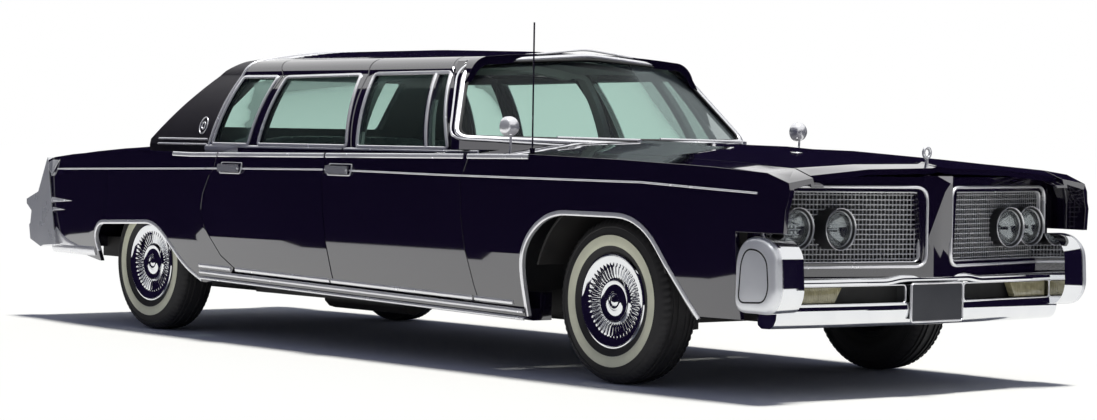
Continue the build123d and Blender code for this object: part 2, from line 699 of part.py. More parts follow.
# Rear bumper: a bar with end caps that wrap onto the quarters
rear_bar_shares = [(-0.7656, 0.420), (-0.7796, 0.400), (-0.8112, 0.440), (-0.8151, 0.520), (-0.8006, 0.560),
                   (-0.7656, 0.560)]
cap_shares = [(-0.7619, 0.904), (-0.7885, 0.710), (-0.8233, 0.665), (-0.8233, 0.640), (-0.8085, 0.600),
              (-0.8133, 0.490), (-0.7751, 0.409), (-0.7364, 0.419)]
cap_outer = y_at(0.925)
cap_inner = y_at(0.745)
rear_bar = side_prism(side_points(rear_bar_shares), -cap_outer, cap_outer)
cap = side_prism(side_points(cap_shares), cap_inner, cap_outer)
rear_bumper = rear_bar + cap + other_side(cap)
rear_bumper -= quarter
rear_bumper -= other_side(quarter)
rear_bumper -= tail_panel
rear_bumper -= chassis
rear_bumper = rear_bumper.solids().sort_by(SortBy.VOLUME)[-1]

# Tail lamps, round, in the tail panel's ends
lamp_flats = 24
bar_flats = 12
tail_lamp_radius = 62.0
tail_lamp_depth = 30.0
tail_lamp_shares = [(0.640, 0.690)]
tail_lamps = [both(bar((tail_panel_x[0], y_at(a), z_at(b)), (tail_panel_x[0] - tail_lamp_depth, y_at(a), z_at(b)),
                       tail_lamp_radius, lamp_flats)) for a, b in tail_lamp_shares]

# Front panel: a V in plan behind the hood's edge, with an opening for each half of the grille.
# Columns: station, share of the half width.
nose_shares = [(0.8006, 0.000), (0.7980, 0.060), (0.7506, 0.900)]
panel_wall = 40.0
panel_face = plan_points(nose_shares)
panel_plan = panel_face + [(x - panel_wall, y) for x, y in panel_face[::-1]]
grille_opening_shares = [(0.095, 0.560), (0.120, 0.860), (0.845, 0.860), (0.845, 0.560)]
front_panel = plan_prism(panel_plan, z_at(0.500), z_at(0.920))
grille_opening = end_prism(end_points(grille_opening_shares), x_at(0.7111), nose_x + overrun)
front_panel -= grille_opening
front_panel -= fender
nose_bar_shares = [(0.7901, 0.500), (0.7933, 0.560), (0.8117, 0.860), (0.8156, 0.895), (0.8059, 0.925),
                   (0.7901, 0.925)]
nose_half_share = 0.090
nose_edge_share = 0.006
nose_flare_share = 0.200
nose_bar = side_prism(side_points(nose_bar_shares), 0, y_at(nose_half_share))
nose_cut = plan_prism([(nose_x, y_at(nose_edge_share)), (x_at(0.7954), y_at(nose_half_share)),
                       (nose_x + overrun, y_at(nose_flare_share)), (nose_x + overrun, y_at(nose_edge_share))],
                      0, roof_height)
nose_bar -= nose_cut
front_panel = (front_panel + nose_bar).solids().sort_by(SortBy.VOLUME)[-1]
front_panel = front_panel + other_side(front_panel)

# Lamps in the grille. Columns: station of the glass, share of the half width, height.
lamp_shares = [(0.7677, 0.713, 0.705), (0.7814, 0.521, 0.703)]
lamp_rim = 8.0
lamp_recess = 14.0


def headlamp(a, b, c):
    front, y, z = x_at(a), y_at(b), z_at(c)
    can = bar((front - lamp_depth, y, z), (front, y, z), lamp_radius, lamp_flats)
    return can - bar((front - lamp_recess, y, z), (front + overrun, y, z), lamp_radius - lamp_rim, lamp_flats)


headlamps = [headlamp(*row) for row in lamp_shares]

# Grille: upright and level bars in one leaning sheet behind the opening, cut out round the lamps
grille_set_back = 34.0
grille_plan = [(x - grille_set_back, y) for x, y in panel_face]
grille_sheet = plan_prism(grille_plan + [(x - grille_depth, y) for x, y in grille_plan[::-1]],
                          z_at(grille_opening_shares[0][1]), z_at(grille_opening_shares[1][1]))
grille_low, grille_high = z_at(grille_opening_shares[0][1]), z_at(grille_opening_shares[1][1])
grille_start, grille_end = y_at(0.060), y_at(0.845)
grille_count = int((grille_end - grille_start) / grille_pitch)
level_count = int((grille_high - grille_low) / grille_pitch)
bars = []
for i in range(grille_count + 1):
    y = grille_start + (grille_end - grille_start) * i / grille_count
    bars.append(block(x_at(0.7111), nose_x, y - grille_bar / 2, y + grille_bar / 2, grille_low, grille_high))
for j in range(level_count + 1):
    z = grille_low + (grille_high - grille_low) * j / level_count
    bars.append(block(x_at(0.7111), nose_x, grille_start, grille_end, z - grille_bar / 2, z + grille_bar / 2))
lamp_room = [rod((x_at(0.7111), y_at(b), z_at(c)), (nose_x, y_at(b), z_at(c)), lamp_radius)
             for a, b, c in lamp_shares]
lattice = bars[0] + bars[1:]
grille = (grille_sheet & lattice) - lamp_room - front_panel - fender
grille = grille.solids().sort_by(SortBy.VOLUME)[-1]

# Front bumper: a bowed bar with a slot each side for the parking lamps, and a pad at each end
bumper_plan_shares = [(0.7940, 0.000), (0.7869, 0.536), (0.7769, 0.810)]
bumper_depth = 110.0
bumper_low, bumper_high = z_at(0.295), z_at(0.500)
slot_low, slot_high = z_at(0.398), z_at(0.466)
slot_depth = 60.0
slot_from, slot_to = y_at(0.175), y_at(0.790)
bumper_face = plan_points(bumper_plan_shares)
bumper_bar = plan_prism(bumper_face + [(x - bumper_depth, y) for x, y in bumper_face[::-1]], bumper_low, bumper_high)
slot_plan = [(x + overrun, y) for x, y in bumper_face] + [(x - slot_depth, y) for x, y in bumper_face[::-1]]
slot = plan_prism(slot_plan, slot_low, slot_high)
slot = slot & block(x_at(0.7111), nose_x + overrun, slot_from, slot_to, slot_low, slot_high)
bumper_bar -= slot
pad_shares = [(0.7364, 0.362), (0.7364, 0.600), (0.7506, 0.673), (0.7796, 0.673), (0.7993, 0.615),
              (0.8019, 0.430), (0.7901, 0.362)]
pad_inner, pad_outer = y_at(0.800), y_at(0.965)
pad = side_prism(side_points(pad_shares), pad_inner, pad_outer)
bracket = block(x_at(rail_shares[0][0]), x_at(0.7717), y_at(0.430) - rail_width / 2, y_at(0.430) + rail_width / 2,
                bumper_low, bumper_low + cross_width)
bumper_half = bumper_bar + pad + bracket - fender - front_panel - chassis
front_bumper = bumper_half + other_side(bumper_half)
grille = (grille - pad).solids().sort_by(SortBy.VOLUME)[-1]

# Parking lamps at the outer ends of the slots
park_from, park_to = y_at(0.536), slot_to
park_plan = [(x - skin_wall, y) for x, y in bumper_face] + [(x - slot_depth, y) for x, y in bumper_face[::-1]]
parking_lamp = plan_prism(park_plan, slot_low, slot_high)
parking_lamp = parking_lamp & block(x_at(0.7111), nose_x, park_from, park_to, slot_low, slot_high)
parking_lamp = parking_lamp.solids().sort_by(SortBy.VOLUME)[-1]

# Number plate, blank, on the middle of the bumper
plate_low = z_at(0.317)
plate_back = x_at(bumper_plan_shares[0][0])
front_plate = block(plate_back, plate_back + plate_wall, -plate_width / 2, plate_width / 2,
                    plate_low, plate_low + plate_height)

# Engine as one plain block on two mounts, with the radiator ahead of it
engine_rear = firewall_x + skin_wall
engine_foot = z_at(0.330)
engine = block(engine_rear, engine_rear + engine_length, -engine_width / 2, engine_width / 2,
               engine_foot, engine_foot + engine_height)
engine_mount_x = (x_at(0.3950), x_at(0.4161))
rail_inner = y_at(0.430) - rail_width / 2
engine += block(*engine_mount_x, -rail_inner, rail_inner, engine_foot, engine_foot + cross_height)
radiator_foot = z_at(0.350) + cross_height / 2
radiator_x = x_at(0.7374)
radiator = block(radiator_x, radiator_x + radiator_wall, -y_at(0.340), y_at(0.340), radiator_foot, z_at(0.850))

# Drive line and floor tunnel
tunnel_radius = 110.0
shaft_sink_share = 0.9
hub_reach_share = 0.6
bore_end_share = 0.75
spindle_end = wheel_y + hub_radius * hub_reach_share
shaft_front = (engine_rear, 0, z_at(0.400))
shaft_rear = (rear_axle_x + axle_ball_radius * shaft_sink_share, 0, axle_z + floor_wall)
tunnel_x = (seat_step_x - overrun, firewall_x + overrun)
tunnel_void = rod((tunnel_x[0], 0, floor_z), (tunnel_x[1], 0, floor_z), tunnel_radius)
tunnel_skin = rod((seat_step_x, 0, floor_z), (firewall_x, 0, floor_z), tunnel_radius + floor_wall)
tunnel_skin &= block(seat_step_x, firewall_x, -half_width, half_width, floor_z, roof_height)
floor_pan = floor_pan + tunnel_skin - tunnel_void
ball_shares = [(-1.0, 0.30), (-0.55, 0.84), (-0.20, 1.0), (0.20, 1.0), (0.55, 0.84), (1.0, 0.30)]
ball_flats = 20
axle_ball = Pos(rear_axle_x, 0, axle_z) * Rot(90, 0, 0) * bulb(
    [(a * axle_ball_radius, b * axle_ball_radius) for a, b in ball_shares], ball_flats)
tube_end = wheel_y - rim_depth / 2
rear_axle = rod((rear_axle_x, -tube_end, axle_z), (rear_axle_x, tube_end, axle_z), axle_tube_radius)
rear_axle += axle_ball
propshaft = bar(shaft_front, shaft_rear, propshaft_radius, bar_flats) - axle_ball - engine

# Rear springs, with pads on the axle. Columns: station, height of the top face.
spring_y = wheel_y - spring_inset
spring_shares = [(-0.3266, 0.352), (-0.4082, 0.318), (-0.4714, 0.310), (-0.5030, 0.310), (-0.5662, 0.330),
                 (-0.6584, 0.430)]
spring_top = side_points(spring_shares)
spring_line = spring_top + [(x, z - spring_leaf_height) for x, z in spring_top[::-1]]
spring = side_prism(spring_line, spring_y - spring_width / 2, spring_y + spring_width / 2)
spring += block(x_at(-0.6610), x_at(-0.6505), y_at(0.500) + rail_width / 2, spring_y + spring_width / 2,
                z_at(0.380), z_at(0.440))
spring -= chassis + floor_pan
pad_half = 50.0
for side in (-1, 1):
    middle = side * spring_y
    rear_axle += block(rear_axle_x - pad_half, rear_axle_x + pad_half, middle - spring_width / 2,
                       middle + spring_width / 2, spring_top[2][1], axle_z)
    rear_axle += rod((rear_axle_x, side * tube_end, axle_z), (rear_axle_x, side * spindle_end, axle_z), spindle_radius)

# Front suspension arms. Columns: share of the half width, height.
kingpin_y = wheel_y - hub_radius
knuckle_foot = z_at(0.250)
knuckle_head = knuckle_foot + knuckle_height
arm_flat = kingpin_y - knuckle_width
lower_arm_points = [(y_at(0.395), z_at(0.225)), (y_at(0.395), z_at(0.285) - cross_height / 2),
                    (y_at(0.430), z_at(0.285) - cross_height / 2), (arm_flat, knuckle_foot - seat_gap),
                    (kingpin_y + skin_wall, knuckle_foot - seat_gap),
                    (kingpin_y + skin_wall, knuckle_foot - arm_height), (y_at(0.600), z_at(0.210))]
upper_arm_points = [(y_at(0.400), z_at(0.360)), (y_at(0.460), z_at(0.360)), (y_at(0.490), z_at(0.440)),
                    (arm_flat, knuckle_head + seat_gap), (kingpin_y + skin_wall, knuckle_head + seat_gap),
                    (kingpin_y + skin_wall, knuckle_head + arm_height), (y_at(0.470), z_at(0.500)),
                    (y_at(0.400), z_at(0.450))]
arm_x = (front_axle_x - arm_width / 2, front_axle_x + arm_width / 2)
lower_arm = end_prism(lower_arm_points, *arm_x)
upper_arm = end_prism(upper_arm_points, *arm_x) - chassis

# Knuckle with its spindle, one each side
knuckle = block(front_axle_x - knuckle_width / 2, front_axle_x + knuckle_width / 2, kingpin_y - knuckle_width / 2,
                kingpin_y + knuckle_width / 2, knuckle_foot, knuckle_head)
knuckle += rod((front_axle_x, kingpin_y, axle_z), (front_axle_x, spindle_end, axle_z), spindle_radius)

# Wheels and tyres, turned about the axle. Columns: distance out from the wheel's middle as a share of the
# tyre width, radius as a share of the tyre radius.
tyre_shares = [(-0.340, 0), (-0.480, 0.680), (-0.500, 0.800), (-0.440, 0.925), (-0.330, 0.990), (0, 1.000),
               (0.330, 0.990), (0.440, 0.925), (0.500, 0.800), (0.480, 0.680), (0.340, 0)]
cover_shares = [(0.390, 0.575), (0.440, 0.575), (0.457, 0.545), (0.345, 0.280), (0.385, 0.160)]
tyre_flats = 60
wheel_flats = 30
hub_wall_share = 0.82
hub_neck_share = 0.72
flange_share = 0.7
cap_share = 0.365


def tyre(x, y, side):
    rows = [(a * tyre_width, b * tyre_radius if b else tyre_bore_radius) for a, b in tyre_shares]
    return Pos(x, y, axle_z) * Rot(-90, 0, 0) * ring([(side * a, r) for a, r in rows], tyre_flats)


def wheel(x, y, side):
    """Rim, dished cover and flange as one ring of flats, round a bored hub."""
    cover = [(a * tyre_width, b * tyre_radius) for a, b in cover_shares]
    neck = hub_radius * hub_neck_share
    inner = [(cover[-1][0], neck), (hub_radius / 2, neck), (hub_radius / 2, hub_radius),
             (hub_radius, rim_inner_radius * flange_share), (hub_radius, rim_inner_radius),
             (-rim_depth / 2, rim_inner_radius), (-rim_depth / 2, tyre_bore_radius), (cover[0][0], tyre_bore_radius)]
    disc = Pos(x, y, axle_z) * Rot(-90, 0, 0) * ring([(side * a, r) for a, r in cover + inner], wheel_flats)
    hub_start = (x, y - side * hub_radius / 4, axle_z)
    hub = rod(hub_start, (x, y + side * cap_share * tyre_width, axle_z), hub_radius * hub_wall_share)
    bore = rod(hub_start, (x, y + side * hub_radius * bore_end_share, axle_z), spindle_radius + spindle_fit)
    return disc + hub - bore


wheels = {"right_front": (front_axle_x, -1), "left_front": (front_axle_x, 1),
          "right_rear": (rear_axle_x, -1), "left_rear": (rear_axle_x, 1)}

# Exhaust under the right side, hung from the cross members
exhaust_y = -y_at(0.300)
exhaust_z = z_at(0.228)
exhaust = bar((x_at(0.2634), exhaust_y, exhaust_z), (x_at(-0.7848), exhaust_y, exhaust_z), exhaust_radius,
              bar_flats)
exhaust += bar((x_at(-0.0658), exhaust_y, exhaust_z), (x_at(-0.2502), exhaust_y, exhaust_z), silencer_radius,
               bar_flats)
for a, b, c in cross_shares[2:5]:
    foot = z_at(c) - cross_height / 2
    exhaust += block(x_at(a) - exhaust_radius / 2, x_at(a) + exhaust_radius / 2, exhaust_y - exhaust_radius / 2,
                     exhaust_y + exhaust_radius / 2, exhaust_z, foot)
exhaust -= chassis

# Fuel tank under the boot floor
fuel_tank = block(x_at(-0.7427), x_at(-0.6057), -y_at(0.440), y_at(0.440), z_at(0.330), rear_floor_z)

# Cabin furniture
floor_top = floor_z + floor_wall
bench_half = y_at(0.690)
front_seat_shares = [(0.1264, 0.000), (0.1264, 0.560), (0.1159, 0.610), (0.0158, 0.580), (-0.0158, 1.060),
                     (-0.0342, 1.080), (-0.0316, 0.900), (-0.0053, 0.000)]
rear_seat_shares = [(-0.2002, 0.000), (-0.2002, 0.590), (-0.2107, 0.640), (-0.3029, 0.610), (-0.3292, 1.080),
                    (-0.3450, 1.080), (-0.3497, 0.600), (-0.3497, 0.000)]


def bench(shares, half):
    """A bench seat's outline carried across; a height share of nothing means the floor."""
    points = [(x_at(a), z_at(b) if b else floor_top) for a, b in shares]
    return side_prism(points, -half, half) - rod((tunnel_x[0], 0, floor_z), (tunnel_x[1], 0, floor_z),
                                                 tunnel_radius + floor_wall + seat_gap)


front_seat = bench(front_seat_shares, bench_half)
rear_seat = bench(rear_seat_shares, bench_half) - chassis - floor_pan
partition_x = (x_at(-0.0500), x_at(-0.0442))
partition = block(*partition_x, -y_at(0.780), y_at(0.780), floor_top, z_at(0.940))
partition -= tunnel_skin
dash_shares = [(0.2818, 0.720), (0.2160, 0.700), (0.2002, 0.780), (0.2002, 0.880), (0.2212, 0.945),
               (0.2818, 0.945)]
dashboard = side_prism(side_points(dash_shares), -y_at(0.780), y_at(0.780)) & block(
    x_at(0.1844), firewall_x - floor_wall, -half_width, half_width, floor_z, roof_height)
column_start = (firewall_x - floor_wall, y_at(0.380), z_at(0.640))
column_end = (x_at(0.1580), y_at(0.380), z_at(0.870))
column_radius = 22.0
steering_plane = Plane(Vector(*column_end), z_dir=Vector(*column_end) - Vector(*column_start))
column = rod(column_start, column_end, column_radius)
dashboard -= rod(column_start, column_end, column_radius + seat_gap)
column &= block(x_at(0.1317), firewall_x - floor_wall, -half_width, half_width, floor_z, roof_height)
rim_flats = 30
rim_half_share = 0.5
rim_side_share = 0.866


def hexagon_ring(radius, wall, flats):
    """A ring of hexagonal section about Z."""
    low, side = wall * rim_half_share, wall * rim_side_share
    return ring([(0, radius + wall), (side, radius + low), (side, radius - low), (0, radius - wall),
                 (-side, radius - low), (-side, radius + low)], flats)


steering_wheel = steering_plane * hexagon_ring(steering_wheel_radius, steering_rim_radius, rim_flats)
spoke_height = steering_rim_radius * 2
for turn in (0, 90):
    steering_wheel += steering_plane * Rot(0, 0, turn) * Box(steering_wheel_radius * 2, spoke_height, steering_rim_radius)
steering_wheel += column

# Mirrors on stalks, on both fenders
mirror_foot = (x_at(0.3282), y_at(0.900), z_at(0.960))
mirror_centre = (x_at(0.3324), y_at(0.905), z_at(1.108))
stalk_radius = 8.0
mirror_head_shares = [(-0.35, 0.72), (0.10, 0.75), (0.50, 0.60), (0.80, 0.25)]
mirror_flats = 16
mirror_head = Pos(*mirror_centre) * Rot(0, 90, 0) * bulb(
    [(a * mirror_radius, b * mirror_radius) for a, b in mirror_head_shares], mirror_flats)
mirror_piece = (bar(mirror_foot, mirror_centre, stalk_radius, bar_flats) + mirror_head) - fender
mirror_piece = mirror_piece.solids().sort_by(SortBy.VOLUME)[-1]

# Radio mast on the right fender
mast_foot = (x_at(0.3819), -y_at(0.930), z_at(0.970))
mast = bar(mast_foot, (mast_foot[0], mast_foot[1], mast_foot[2] + mast_height), mast_radius, bar_flats)
mast += bar(mast_foot, (mast_foot[0], mast_foot[1], mast_foot[2] + skin_wall * 2), mast_radius * 3, bar_flats)
mast -= other_side(fender)

# Wipers parked across the foot of the screen. Columns: pivot side share, blade end side share.
wiper_shares = [(0.020, -0.480), (0.700, 0.160)]
wiper_height_shares = (1.000, 1.056, 1.062)
wiper_x = (x_at(0.2865), x_at(0.2831))
wiper_radius = 6.0
wiper_flats = 6
wiper_pieces = []
for pivot_share, end_share in wiper_shares:
    foot = (wiper_x[0], y_at(pivot_share), z_at(wiper_height_shares[0]))
    top = (wiper_x[0], y_at(pivot_share), z_at(wiper_height_shares[1]))
    end = (wiper_x[1], y_at(end_share), z_at(wiper_height_shares[2]))
    arm = bar(foot, top, wiper_radius * 2, bar_flats) + bar(top, end, wiper_radius, wiper_flats)
    arm = arm - cowl - roof - windscreen
    wiper_pieces.append(arm.solids().sort_by(SortBy.VOLUME)[-1])

# Ornament on the hood: a ring on a short stem
ornament_x = x_at(0.7775)
ornament_ring = 20.0
ornament_wall = 6.0
ornament_centre = z_at(1.022)
ornament = bar((ornament_x, 0, z_at(0.960)), (ornament_x, 0, ornament_centre - ornament_ring), ornament_wall, bar_flats)
ornament += Pos(ornament_x, 0, ornament_centre) * Rot(0, 90, 0) * hexagon_ring(ornament_ring, ornament_wall, mirror_flats)
hood += ornament

# Door handles, fused to the doors. Columns: station from, station to, height from, height to.
handle_shares = {"rear": (-0.2607, -0.2141, 0.862, 0.900), "front": (-0.0084, 0.0358, 0.871, 0.909)}
handle_inner, handle_outer = y_at(0.970), y_at(1.016)


def handle(which):
    a, b, low, high = handle_shares[which]
    return block(x_at(a), x_at(b), handle_inner, handle_outer, z_at(low), z_at(high))


rear_door += handle("rear")
front_door += handle("front")

os.makedirs("parts", exist_ok=True)
write("chassis_frame", chassis)
write("floor_pan", floor_pan)
write("wheel_housings", both(front_liner), both(rear_liner))
write("sills", both(sill))
write("front_fenders", both(fender))
write("quarter_panels", both(quarter))
write("cowl", cowl)
write("centre_pillars", pillars)
write("roof", roof)
write("windscreen", windscreen)
write("backlight", backlight)
write("quarter_glass", both(quarter_pane))
write("tail_panel", tail_panel)
write("tail_lamps", tail_lamps)
write("rear_bumper", rear_bumper)
write("front_panel", front_panel)
write("grille", both(grille))
write("headlamps", both(headlamps[0]), both(headlamps[1]))
write("front_bumper", front_bumper)
write("parking_lamps", both(parking_lamp))
write("front_plate", front_plate)
write("engine", engine)
write("radiator", radiator)
write("rear_axle", rear_axle)
write("propshaft", propshaft)
write("rear_springs", both(spring))
write("front_arms", both(lower_arm), both(upper_arm))
write("exhaust", exhaust)
write("fuel_tank", fuel_tank)
write("front_seat", front_seat)
write("rear_seat", rear_seat)
write("partition", partition)
write("dashboard", dashboard)
write("steering_wheel", steering_wheel)
write("mirrors", both(mirror_piece))
write("radio_mast", mast)
write("wipers", wiper_pieces)
write("hood", hood)
write("boot_lid", boot_lid)
write("left_rear_door", rear_door)
write("left_front_door", front_door)
write("left_rear_glass", rear_pane)
write("left_front_glass", front_panes)
write("right_rear_door", other_side(rear_door))
write("right_front_door", other_side(front_door))
write("right_rear_glass", other_side(rear_pane))
write("right_front_glass", [other_side(piece) for piece in front_panes])
write("left_knuckle", knuckle)
write("right_knuckle", other_side(knuckle))
for name, (x, side) in wheels.items():
    write(name + "_tyre", tyre(x, side * wheel_y, side))
    write(name + "_wheel", wheel(x, side * wheel_y, side))
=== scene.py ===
import json
import math

import bmesh
import bpy
import numpy as np
from bpy.props import FloatProperty, FloatVectorProperty, IntProperty, PointerProperty
from mathutils import Matrix


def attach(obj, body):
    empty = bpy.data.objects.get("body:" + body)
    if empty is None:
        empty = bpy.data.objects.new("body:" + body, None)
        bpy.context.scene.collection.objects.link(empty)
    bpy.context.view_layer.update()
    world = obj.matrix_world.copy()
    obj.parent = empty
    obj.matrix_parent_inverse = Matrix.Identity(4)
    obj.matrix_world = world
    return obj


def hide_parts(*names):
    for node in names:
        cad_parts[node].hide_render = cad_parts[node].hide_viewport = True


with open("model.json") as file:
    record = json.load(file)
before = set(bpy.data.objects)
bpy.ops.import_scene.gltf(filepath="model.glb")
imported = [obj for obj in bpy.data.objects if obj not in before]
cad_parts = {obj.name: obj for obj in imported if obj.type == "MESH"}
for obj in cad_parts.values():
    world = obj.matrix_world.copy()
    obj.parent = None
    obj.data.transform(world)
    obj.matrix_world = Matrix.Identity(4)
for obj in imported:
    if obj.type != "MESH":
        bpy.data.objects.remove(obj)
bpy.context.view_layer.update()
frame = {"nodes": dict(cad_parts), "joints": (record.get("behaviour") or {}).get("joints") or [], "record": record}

bl_info = {
    "name": "Limousine looks",
    "version": (1, 0, 0),
    "blender": (4, 5, 0),
    "location": "View3D > Sidebar > Limousine",
    "description": "Finishes and fine pieces of a long-wheelbase limousine",
    "category": "Object",
}

JOINTS = {joint["name"]: joint for joint in frame["joints"]}
FRONT_AXLE = np.array(JOINTS["left_front_wheel_spin"]["pos_m"])
REAR_AXLE = np.array(JOINTS["left_rear_wheel_spin"]["pos_m"])
WHEELBASE = FRONT_AXLE[0] - REAR_AXLE[0]
FRONT_AXLE_SHARE = 0.5128     # the front axle's place, as a share of the wheelbase ahead of the body datum
DATUM_X = FRONT_AXLE[0] - FRONT_AXLE_SHARE * WHEELBASE
SIDES = {"left": 1, "right": -1}
ENDS = ("front", "rear")
BODIES = ("body", "left_front_door", "left_rear_door", "right_front_door", "right_rear_door")
TYRE_RADIUS = 0.360
SLOPE_STEP = 0.002            # step over which a surface's slope is measured


# The settings of the add-on.
class LimousinePaint(bpy.types.PropertyGroup):
    """Colours."""
    body: FloatVectorProperty(name="Body", description="Colour of the lacquer", subtype="COLOR", size=3,
                              default=(0.0065, 0.0040, 0.0150), min=0, max=1)
    vinyl: FloatVectorProperty(name="Vinyl", description="Colour of the covered roof", subtype="COLOR", size=3,
                               default=(0.012, 0.010, 0.016), min=0, max=1)
    glass: FloatVectorProperty(name="Glass", description="Tint of the windows", subtype="COLOR", size=3,
                               default=(0.78, 0.90, 0.85), min=0, max=1)
    whitewall: FloatVectorProperty(name="Whitewall", description="Colour of the tyre's band", subtype="COLOR", size=3,
                                   default=(0.66, 0.66, 0.50), min=0, max=1)
    seat: FloatVectorProperty(name="Seats", description="Colour of the hide", subtype="COLOR", size=3,
                              default=(0.16, 0.18, 0.17), min=0, max=1)


class LimousineWheels(bpy.types.PropertyGroup):
    """Tyres and wheel covers."""
    vanes: IntProperty(name="Vanes", description="Ridges on each wheel cover", default=44, min=12, max=80)
    vane_height: FloatProperty(name="Vane height", description="How far a vane stands out", default=0.0045,
                               min=0, max=0.02, subtype="DISTANCE")
    blocks: IntProperty(name="Tread blocks", description="Shoulder blocks round a tyre", default=72, min=20, max=120)
    groove: FloatProperty(name="Groove", description="Depth of the tread", default=0.007, min=0, max=0.02,
                          subtype="DISTANCE")


class LimousineTrim(bpy.types.PropertyGroup):
    """Bright strips."""
    belt: FloatProperty(name="Belt strip", description="Height of the strip under the windows", default=0.030,
                        min=0.005, max=0.08, subtype="DISTANCE")
    line: FloatProperty(name="Side line", description="Height of the thin line along the side", default=0.009,
                        min=0.002, max=0.03, subtype="DISTANCE")
    arch: FloatProperty(name="Arch lip", description="Width of the lips round the wheel arches", default=0.020,
                        min=0.005, max=0.05, subtype="DISTANCE")


# Sums on the sockets of a node tree.
class Field:
    """A socket of a node tree that takes part in Python expressions."""

    def __init__(self, tree, socket):
        self.tree = tree
        self.socket = socket

    def node(self, kind, settings=None, inputs=None, output=0):
        """Adds a node: its settings first, then values or links of its sockets."""
        made = self.tree.nodes.new(kind)
        for key, value in (settings or {}).items():
            setattr(made, key, value)
        for key, value in (inputs or {}).items():
            if isinstance(value, Field):
                self.tree.links.new(value.socket, made.inputs[key])
            else:
                made.inputs[key].default_value = value
        return Field(self.tree, made.outputs[output])

    def maths(self, operation, *values):
        """One sum of sockets and numbers."""
        return self.node("ShaderNodeMath", {"operation": operation}, dict(enumerate(values)))

    def __add__(self, other):
        return self.maths("ADD", self, other)

    def __sub__(self, other):
        return self.maths("SUBTRACT", self, other)

    def __rsub__(self, other):
        return self.maths("SUBTRACT", other, self)

    def __mul__(self, other):
        return self.maths("MULTIPLY", self, other)

    def __truediv__(self, other):
        return self.maths("DIVIDE", self, other)

    __radd__ = __add__
    __rmul__ = __mul__

    def clamp(self, low=0.0, high=1.0):
        """The value, kept between low and high."""
        return self.node("ShaderNodeClamp", None, {"Value": self, "Min": low, "Max": high})

    def band(self, low, high, soft):
        """1 between low and high, and 0 outside, with soft edges."""
        rise = self.node("ShaderNodeMapRange", {"interpolation_type": "SMOOTHSTEP"},
                         {"Value": self, "From Min": low - soft, "From Max": low + soft})
        fall = self.node("ShaderNodeMapRange", {"interpolation_type": "SMOOTHSTEP"},
                         {"Value": self, "From Min": high - soft, "From Max": high + soft})
        return rise * (1 - fall)

    def between(self, first, second):
        """A colour from first, at 0, to second, at 1."""
        made = self.node("ShaderNodeMix", {"data_type": "RGBA"}, None, 2)
        links, mix = self.tree.links, made.socket.node
        links.new(self.socket, mix.inputs[0])
        for place, colour in ((6, first), (7, second)):
            if isinstance(colour, Field):
                links.new(colour.socket, mix.inputs[place])
            else:
                mix.inputs[place].default_value = (*colour, 1)
        return made

    def part(self, axis):
        """One coordinate of a vector."""
        return self.node("ShaderNodeSeparateXYZ", None, {0: self}, "XYZ".index(axis))

    def mapped(self, location=(0, 0, 0), scale=(1, 1, 1)):
        """The place times a scale, plus a location."""
        return self.node("ShaderNodeMapping", None, {"Vector": self, "Location": location, "Scale": scale})

    def noise(self, scale, detail=3.0, roughness=0.5):
        """Cloudy noise from 0 to 1."""
        return self.node("ShaderNodeTexNoise", None,
                         {"Vector": self, "Scale": scale, "Detail": detail, "Roughness": roughness})

    def cells(self, scale, feature="F1"):
        """Distance in a pattern of random cells."""
        return self.node("ShaderNodeTexVoronoi", {"feature": feature}, {"Vector": self, "Scale": scale})

    def bump(self, strength, distance):
        """Normals of a surface lifted by the value times a distance."""
        return self.node("ShaderNodeBump", None, {"Height": self, "Strength": strength, "Distance": distance})


def finish(name, colour, roughness, metallic=0.0, coat=0.0, sheen=0.0, pattern=None, **extra):
    """A material whose plain values are set on the shader, and whose pattern adds links."""
    made = bpy.data.materials.new(name)
    made.use_nodes = True
    shader = made.node_tree.nodes["Principled BSDF"]
    shader.inputs["Base Color"].default_value = (*colour, 1)
    shader.inputs["Roughness"].default_value = roughness
    shader.inputs["Metallic"].default_value = metallic
    shader.inputs["Coat Weight"].default_value = coat
    shader.inputs["Coat Roughness"].default_value = 0.02
    shader.inputs["Sheen Weight"].default_value = sheen
    for key, value in extra.items():
        shader.inputs[key.replace("_", " ")].default_value = value
    if pattern:
        place = made.node_tree.nodes.new("ShaderNodeTexCoord").outputs["Object"]
        for socket, field in pattern(Field(made.node_tree, place)).items():
            made.node_tree.links.new(field.socket, shader.inputs[socket])
    made.diffuse_color = (*colour, 1)
    return made


def shades(colour, low, high):
    """A darker and a lighter shade of a colour, each a share of it."""
    return [tuple(min(1, c * share) for c in colour) for share in (low, high)]


def paint_pattern(colour):
    """Lacquer: a very fine ripple, and faint cloudy differences of tone and polish."""
    def pattern(place):
        cloud = place.noise(1.7, 4.0)
        ripple = place.noise(240.0, 1.0)
        return {"Base Color": cloud.between(*shades(colour, 0.8, 1.25)),
                "Roughness": cloud * 0.03 + 0.045,
                "Normal": ripple.bump(0.02, 0.0004)}
    return pattern


def chrome_pattern(place):
    """Plating: a soft waviness, and faint hazes in the polish."""
    haze = place.noise(9.0, 4.0)
    return {"Roughness": haze * 0.06 + 0.03,
            "Base Color": haze.between((0.74, 0.75, 0.78), (0.86, 0.87, 0.88)),
            "Normal": place.noise(30.0, 1.0).bump(0.03, 0.001)}


def trim_pattern(place):
    """Rolled bright strip, partly near-white lacquer whose white is a painted bright reflection: a soft shine with
    faint wipe marks.
    """
    haze = place.noise(14.0, 4.0)
    return {"Roughness": haze * 0.14 + 0.18,
            "Base Color": haze.between((0.91, 0.91, 0.93), (0.98, 0.98, 0.99)),
            "Normal": place.noise(60.0, 1.0).bump(0.03, 0.0006)}


